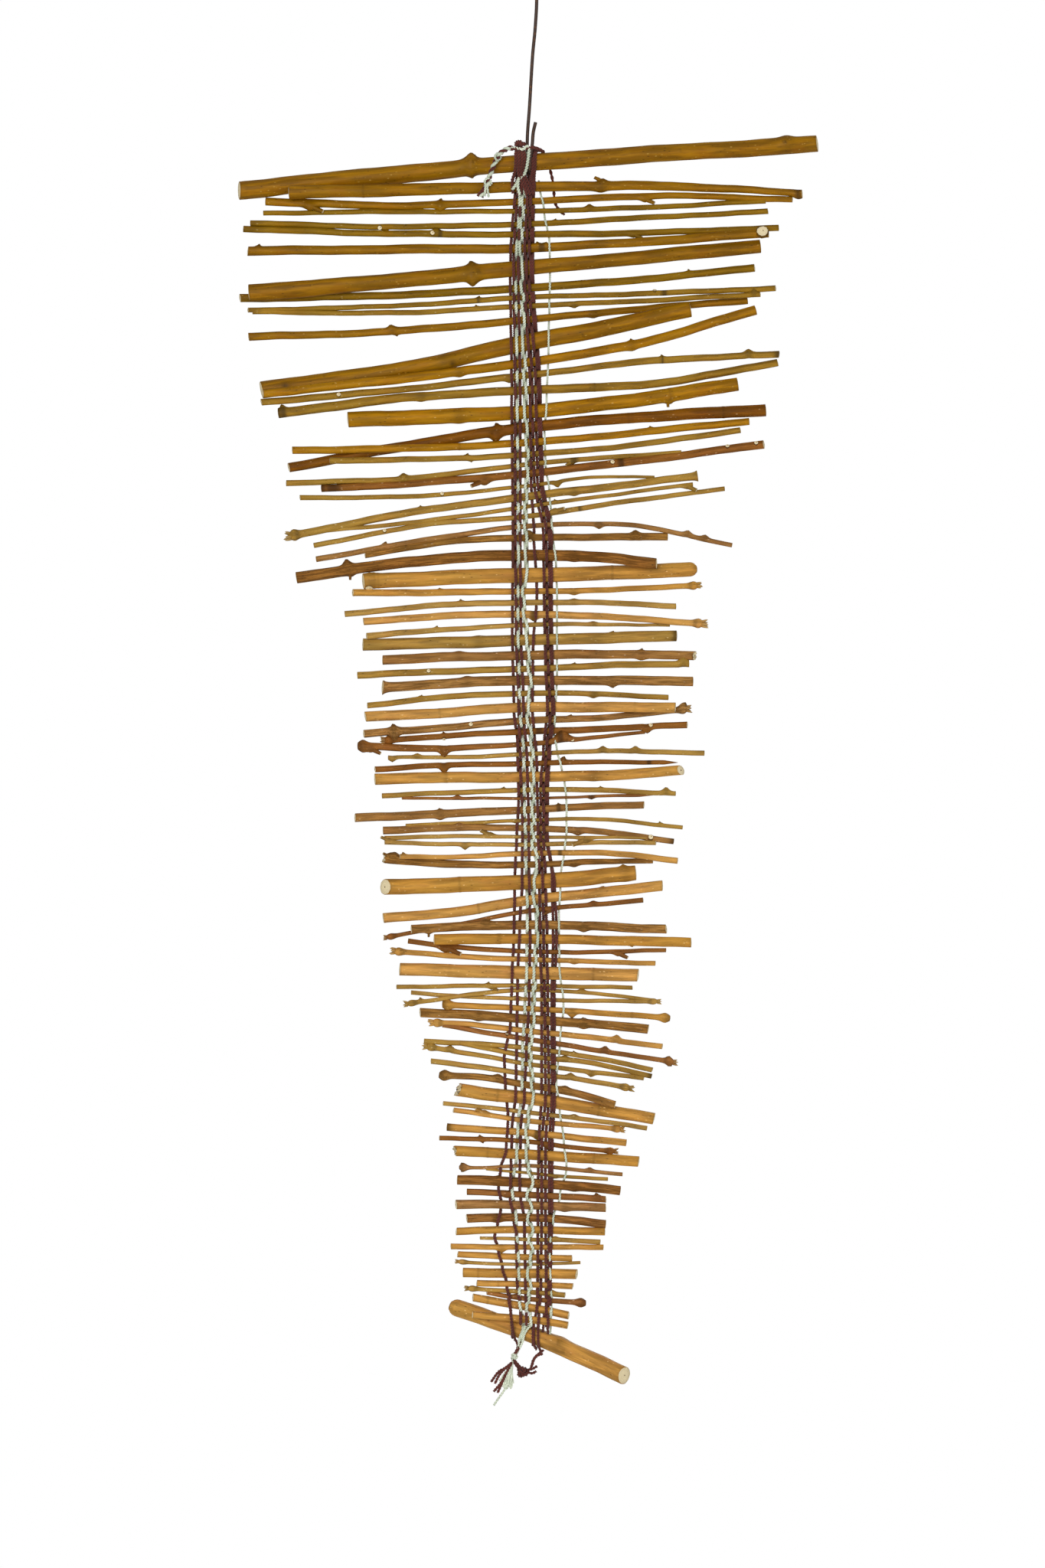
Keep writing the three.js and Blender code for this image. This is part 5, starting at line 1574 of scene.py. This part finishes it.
class WeaveWarps(bpy.types.Operator):
    """Weaves every warp over and under the twigs"""

    bl_idname = "hanging.weave_warps"
    bl_label = "Weave the warps"

    def execute(self, context):
        twigs = [twig for twig, _ in all_twigs()]
        thick = context.scene.hanging_threads.thickness / MM
        for name, tint, side, route in WARPS:
            wide = thick * THIN_WARPS.get(name, 1.0)
            line, widths = warp_line(route, side, twigs, wide, random.Random(name))
            mesh = thread_mesh(name, [line], tint, wide * MM, widths=widths)
            add_piece(name, mesh, tint + "_cotton", "thread_band")
        return {"FINISHED"}


def tie(name, ties, node):
    """Short strands as one piece for each colour."""
    for tint in ("maroon", "mint"):
        mine = [
            (thick, smooth_line(way, 0.5)) for colour_name, thick,
            way in ties if colour_name == tint
        ]
        widest = max(thick for thick, _ in mine)
        widths = [thick / widest for thick, line in mine for _ in line]
        mesh = thread_mesh(name, [line for _, line in mine], tint, widest * MM, widths=widths)
        add_piece(name + "_" + tint, mesh, tint + "_cotton", node)


def tie_knot(node, tint, middle, size, thick):
    """One closed-up knot as a piece."""
    mesh = thread_mesh("knot", [knot_line(middle, size)], tint, thick * MM)
    add_piece(node + "_thread", mesh, tint + "_cotton", node)


class TieTopKnot(bpy.types.Operator):
    """Ties the knot on the top bar and its two loose tails"""

    bl_idname = "hanging.tie_top_knot"
    bl_label = "Tie the top knot"

    def execute(self, context):
        tie_knot(*TOP_KNOT)
        tie("top_ties", TOP_TIES, "thread_band")
        for name, route, tint, other, wide in TAILS:
            line, thick = smooth_line(route), wide * MM
            mesh = thread_mesh(name, [line], tint, thick, 0.0004, 16, other, TAIL_TWIST)
            piece = add_piece(name + "_thread", mesh, tint + "_cotton", name)
            length = sum((b - a).length for a, b in zip(line, line[1:]))
            if name == "left_tail":
                tie("left_ends", LEFT_ENDS, "left_tail")
        return {"FINISHED"}


class TieBottomKnots(bpy.types.Operator):
    """Ties the mint and maroon knots under the bottom bar, and combs the loose fringe"""

    bl_idname = "hanging.tie_bottom_knots"
    bl_label = "Tie the bottom knots"

    def execute(self, context):
        tie_knot(*MINT_KNOT)
        tie_knot(*MAROON_KNOT)
        mesh = thread_mesh("strand", [smooth_line(KNOT_STRAND)], "maroon", 1.8 * MM)
        add_piece("knot_strand_thread", mesh, "maroon_cotton", "knot_strand")
        tie("bottom_ties", BOTTOM_TIES, "thread_band")
        strands = []
        for x, z in FRINGE_TIPS:
            strands.append(
                smooth_line(
                    ((-12, -2.6, -730.4), ((x - 12.6) / 2, -3.8, (z - 730) / 2 - 1), (x, -3, z))
                )
            )
        mesh = grown(
            "fringe", strands, fringe_tree(), Fibres=18, Thickness=0.42 * MM, Spread=1.0 * MM,
            Seed=5, Finish=cotton("mint")
        )
        add_piece("fringe_fibres", mesh, "mint_cotton", "fringe")
        return {"FINISHED"}


class SetStage(bpy.types.Operator):
    """Sets the floor, the soft light and the camera straight in front"""

    bl_idname = "hanging.set_stage"
    bl_label = "Set the stage"

    def execute(self, context):
        scene, own = context.scene, context.scene.hanging_stage
        middle = Vector(VIEW_MIDDLE)
        floor = bpy.data.meshes.new("floor")
        reach = FLOOR_REACH
        floor.from_pydata(
            [(-reach, -reach, own.floor), (reach, -reach, own.floor), (reach, reach, own.floor),
             (-reach, reach, own.floor)],
            [], [(0, 1, 2, 3)]
        )
        ground = bpy.data.objects.new("floor", floor)
        scene.collection.objects.link(ground)
        pale = Finish("pale_floor")
        speckle = pale.noise(pale.node("ShaderNodeTexCoord").outputs["Object"], 2.0, 0.5, 6.0)
        floor.materials.append(
            pale.done(pale.mix(speckle * 0.3, shade(238, 238, 236), shade(228, 228, 226)), 0.9)
        )
        world = bpy.data.worlds.new("soft_room")
        scene.world = world
        world.use_nodes = True
        room = Nodes(world.node_tree)
        room.tree.nodes.clear()
        way = room.node(
            "ShaderNodeSeparateXYZ", None, {0: room.node("ShaderNodeTexCoord").outputs["Generated"]}
        ).outputs[2]
        glow = room.mix(Term(room, way).between(-0.6, 0.9), (0.16, 0.16, 0.16), (0.5, 0.5, 0.5))
        lit = room.node("ShaderNodeBackground", None, {"Color": glow, "Strength": 0.8}).outputs[0]
        seen = room.node(
            "ShaderNodeBackground", None, {"Color": (1.0, 1.0, 1.0), "Strength": 1.0}
        ).outputs[0]
        both = room.node(
            "ShaderNodeMixShader", None,
            {0: room.node("ShaderNodeLightPath").outputs["Is Camera Ray"], 1: lit, 2: seen}
        ).outputs[0]
        room.node("ShaderNodeOutputWorld", None, {"Surface": both})
        for name, at, size, power in (
            ("back", (0.6, 1.8, 0.1), 1.0, own.light * SOFT_LAMP),
            ("key", (-0.6, -1.8, -0.1), 0.9, own.light),
            ("fill", (1.4, -1.2, -0.6), 1.2, own.light * SOFT_LAMP)
        ):
            lamp = bpy.data.lights.new(name, "AREA")
            lamp.size, lamp.energy = size, power
            spot = bpy.data.objects.new(name, lamp)
            spot.location = at
            spot.rotation_euler = (middle - spot.location).to_track_quat("-Z", "Y").to_euler()
            scene.collection.objects.link(spot)
        view = bpy.data.cameras.new("camera")
        view.angle = 2 * math.atan(own.view_height / 2 / own.distance)
        eye = bpy.data.objects.new("camera", view)
        eye.location = middle - Vector((0, own.distance, 0))
        eye.rotation_euler = (math.pi / 2, 0, 0)
        scene.collection.objects.link(eye)
        scene.camera = eye
        scene.view_settings.view_transform = "Standard"
        return {"FINISHED"}


class HangingPanel(bpy.types.Panel):
    """Lists the hanging's settings and the steps that make it"""

    bl_idname = "VIEW3D_PT_twig_hanging"
    bl_label = "Twig hanging"
    bl_space_type = "VIEW_3D"
    bl_region_type = "UI"
    bl_category = "Twig Hanging"

    def draw(self, context):
        for title, group in (
            ("Twigs", context.scene.hanging_twigs), ("Threads", context.scene.hanging_threads),
            ("Stage", context.scene.hanging_stage)
        ):
            box = self.layout.box()
            box.label(text=title)
            for name in group.__annotations__:
                box.prop(group, name)
        for step in STEPS:
            self.layout.operator(step.bl_idname)


STEPS = (SetStage, MakeWire, TieTopKnot, MakeThickTwigs, MakeThinTwigs, WeaveWarps, TieBottomKnots)
GROUPS = (
    ("hanging_twigs", TwigSettings), ("hanging_threads", ThreadSettings),
    ("hanging_stage", StageSettings)
)


def register():
    for name, group in GROUPS:
        bpy.utils.register_class(group)
        setattr(bpy.types.Scene, name, PointerProperty(type=group))
    for step in (*STEPS, HangingPanel):
        bpy.utils.register_class(step)


def unregister():
    for step in reversed((*STEPS, HangingPanel)):
        bpy.utils.unregister_class(step)
    for name, group in reversed(GROUPS):
        delattr(bpy.types.Scene, name)
        bpy.utils.unregister_class(group)


def main():
    register()
    bpy.ops.hanging.set_stage()
    bpy.ops.hanging.make_wire()
    bpy.ops.hanging.tie_top_knot()
    bpy.ops.hanging.make_thick_twigs()
    bpy.ops.hanging.make_thin_twigs()
    bpy.ops.hanging.weave_warps()
    bpy.ops.hanging.tie_bottom_knots()


if __name__ == "__main__":
    main()
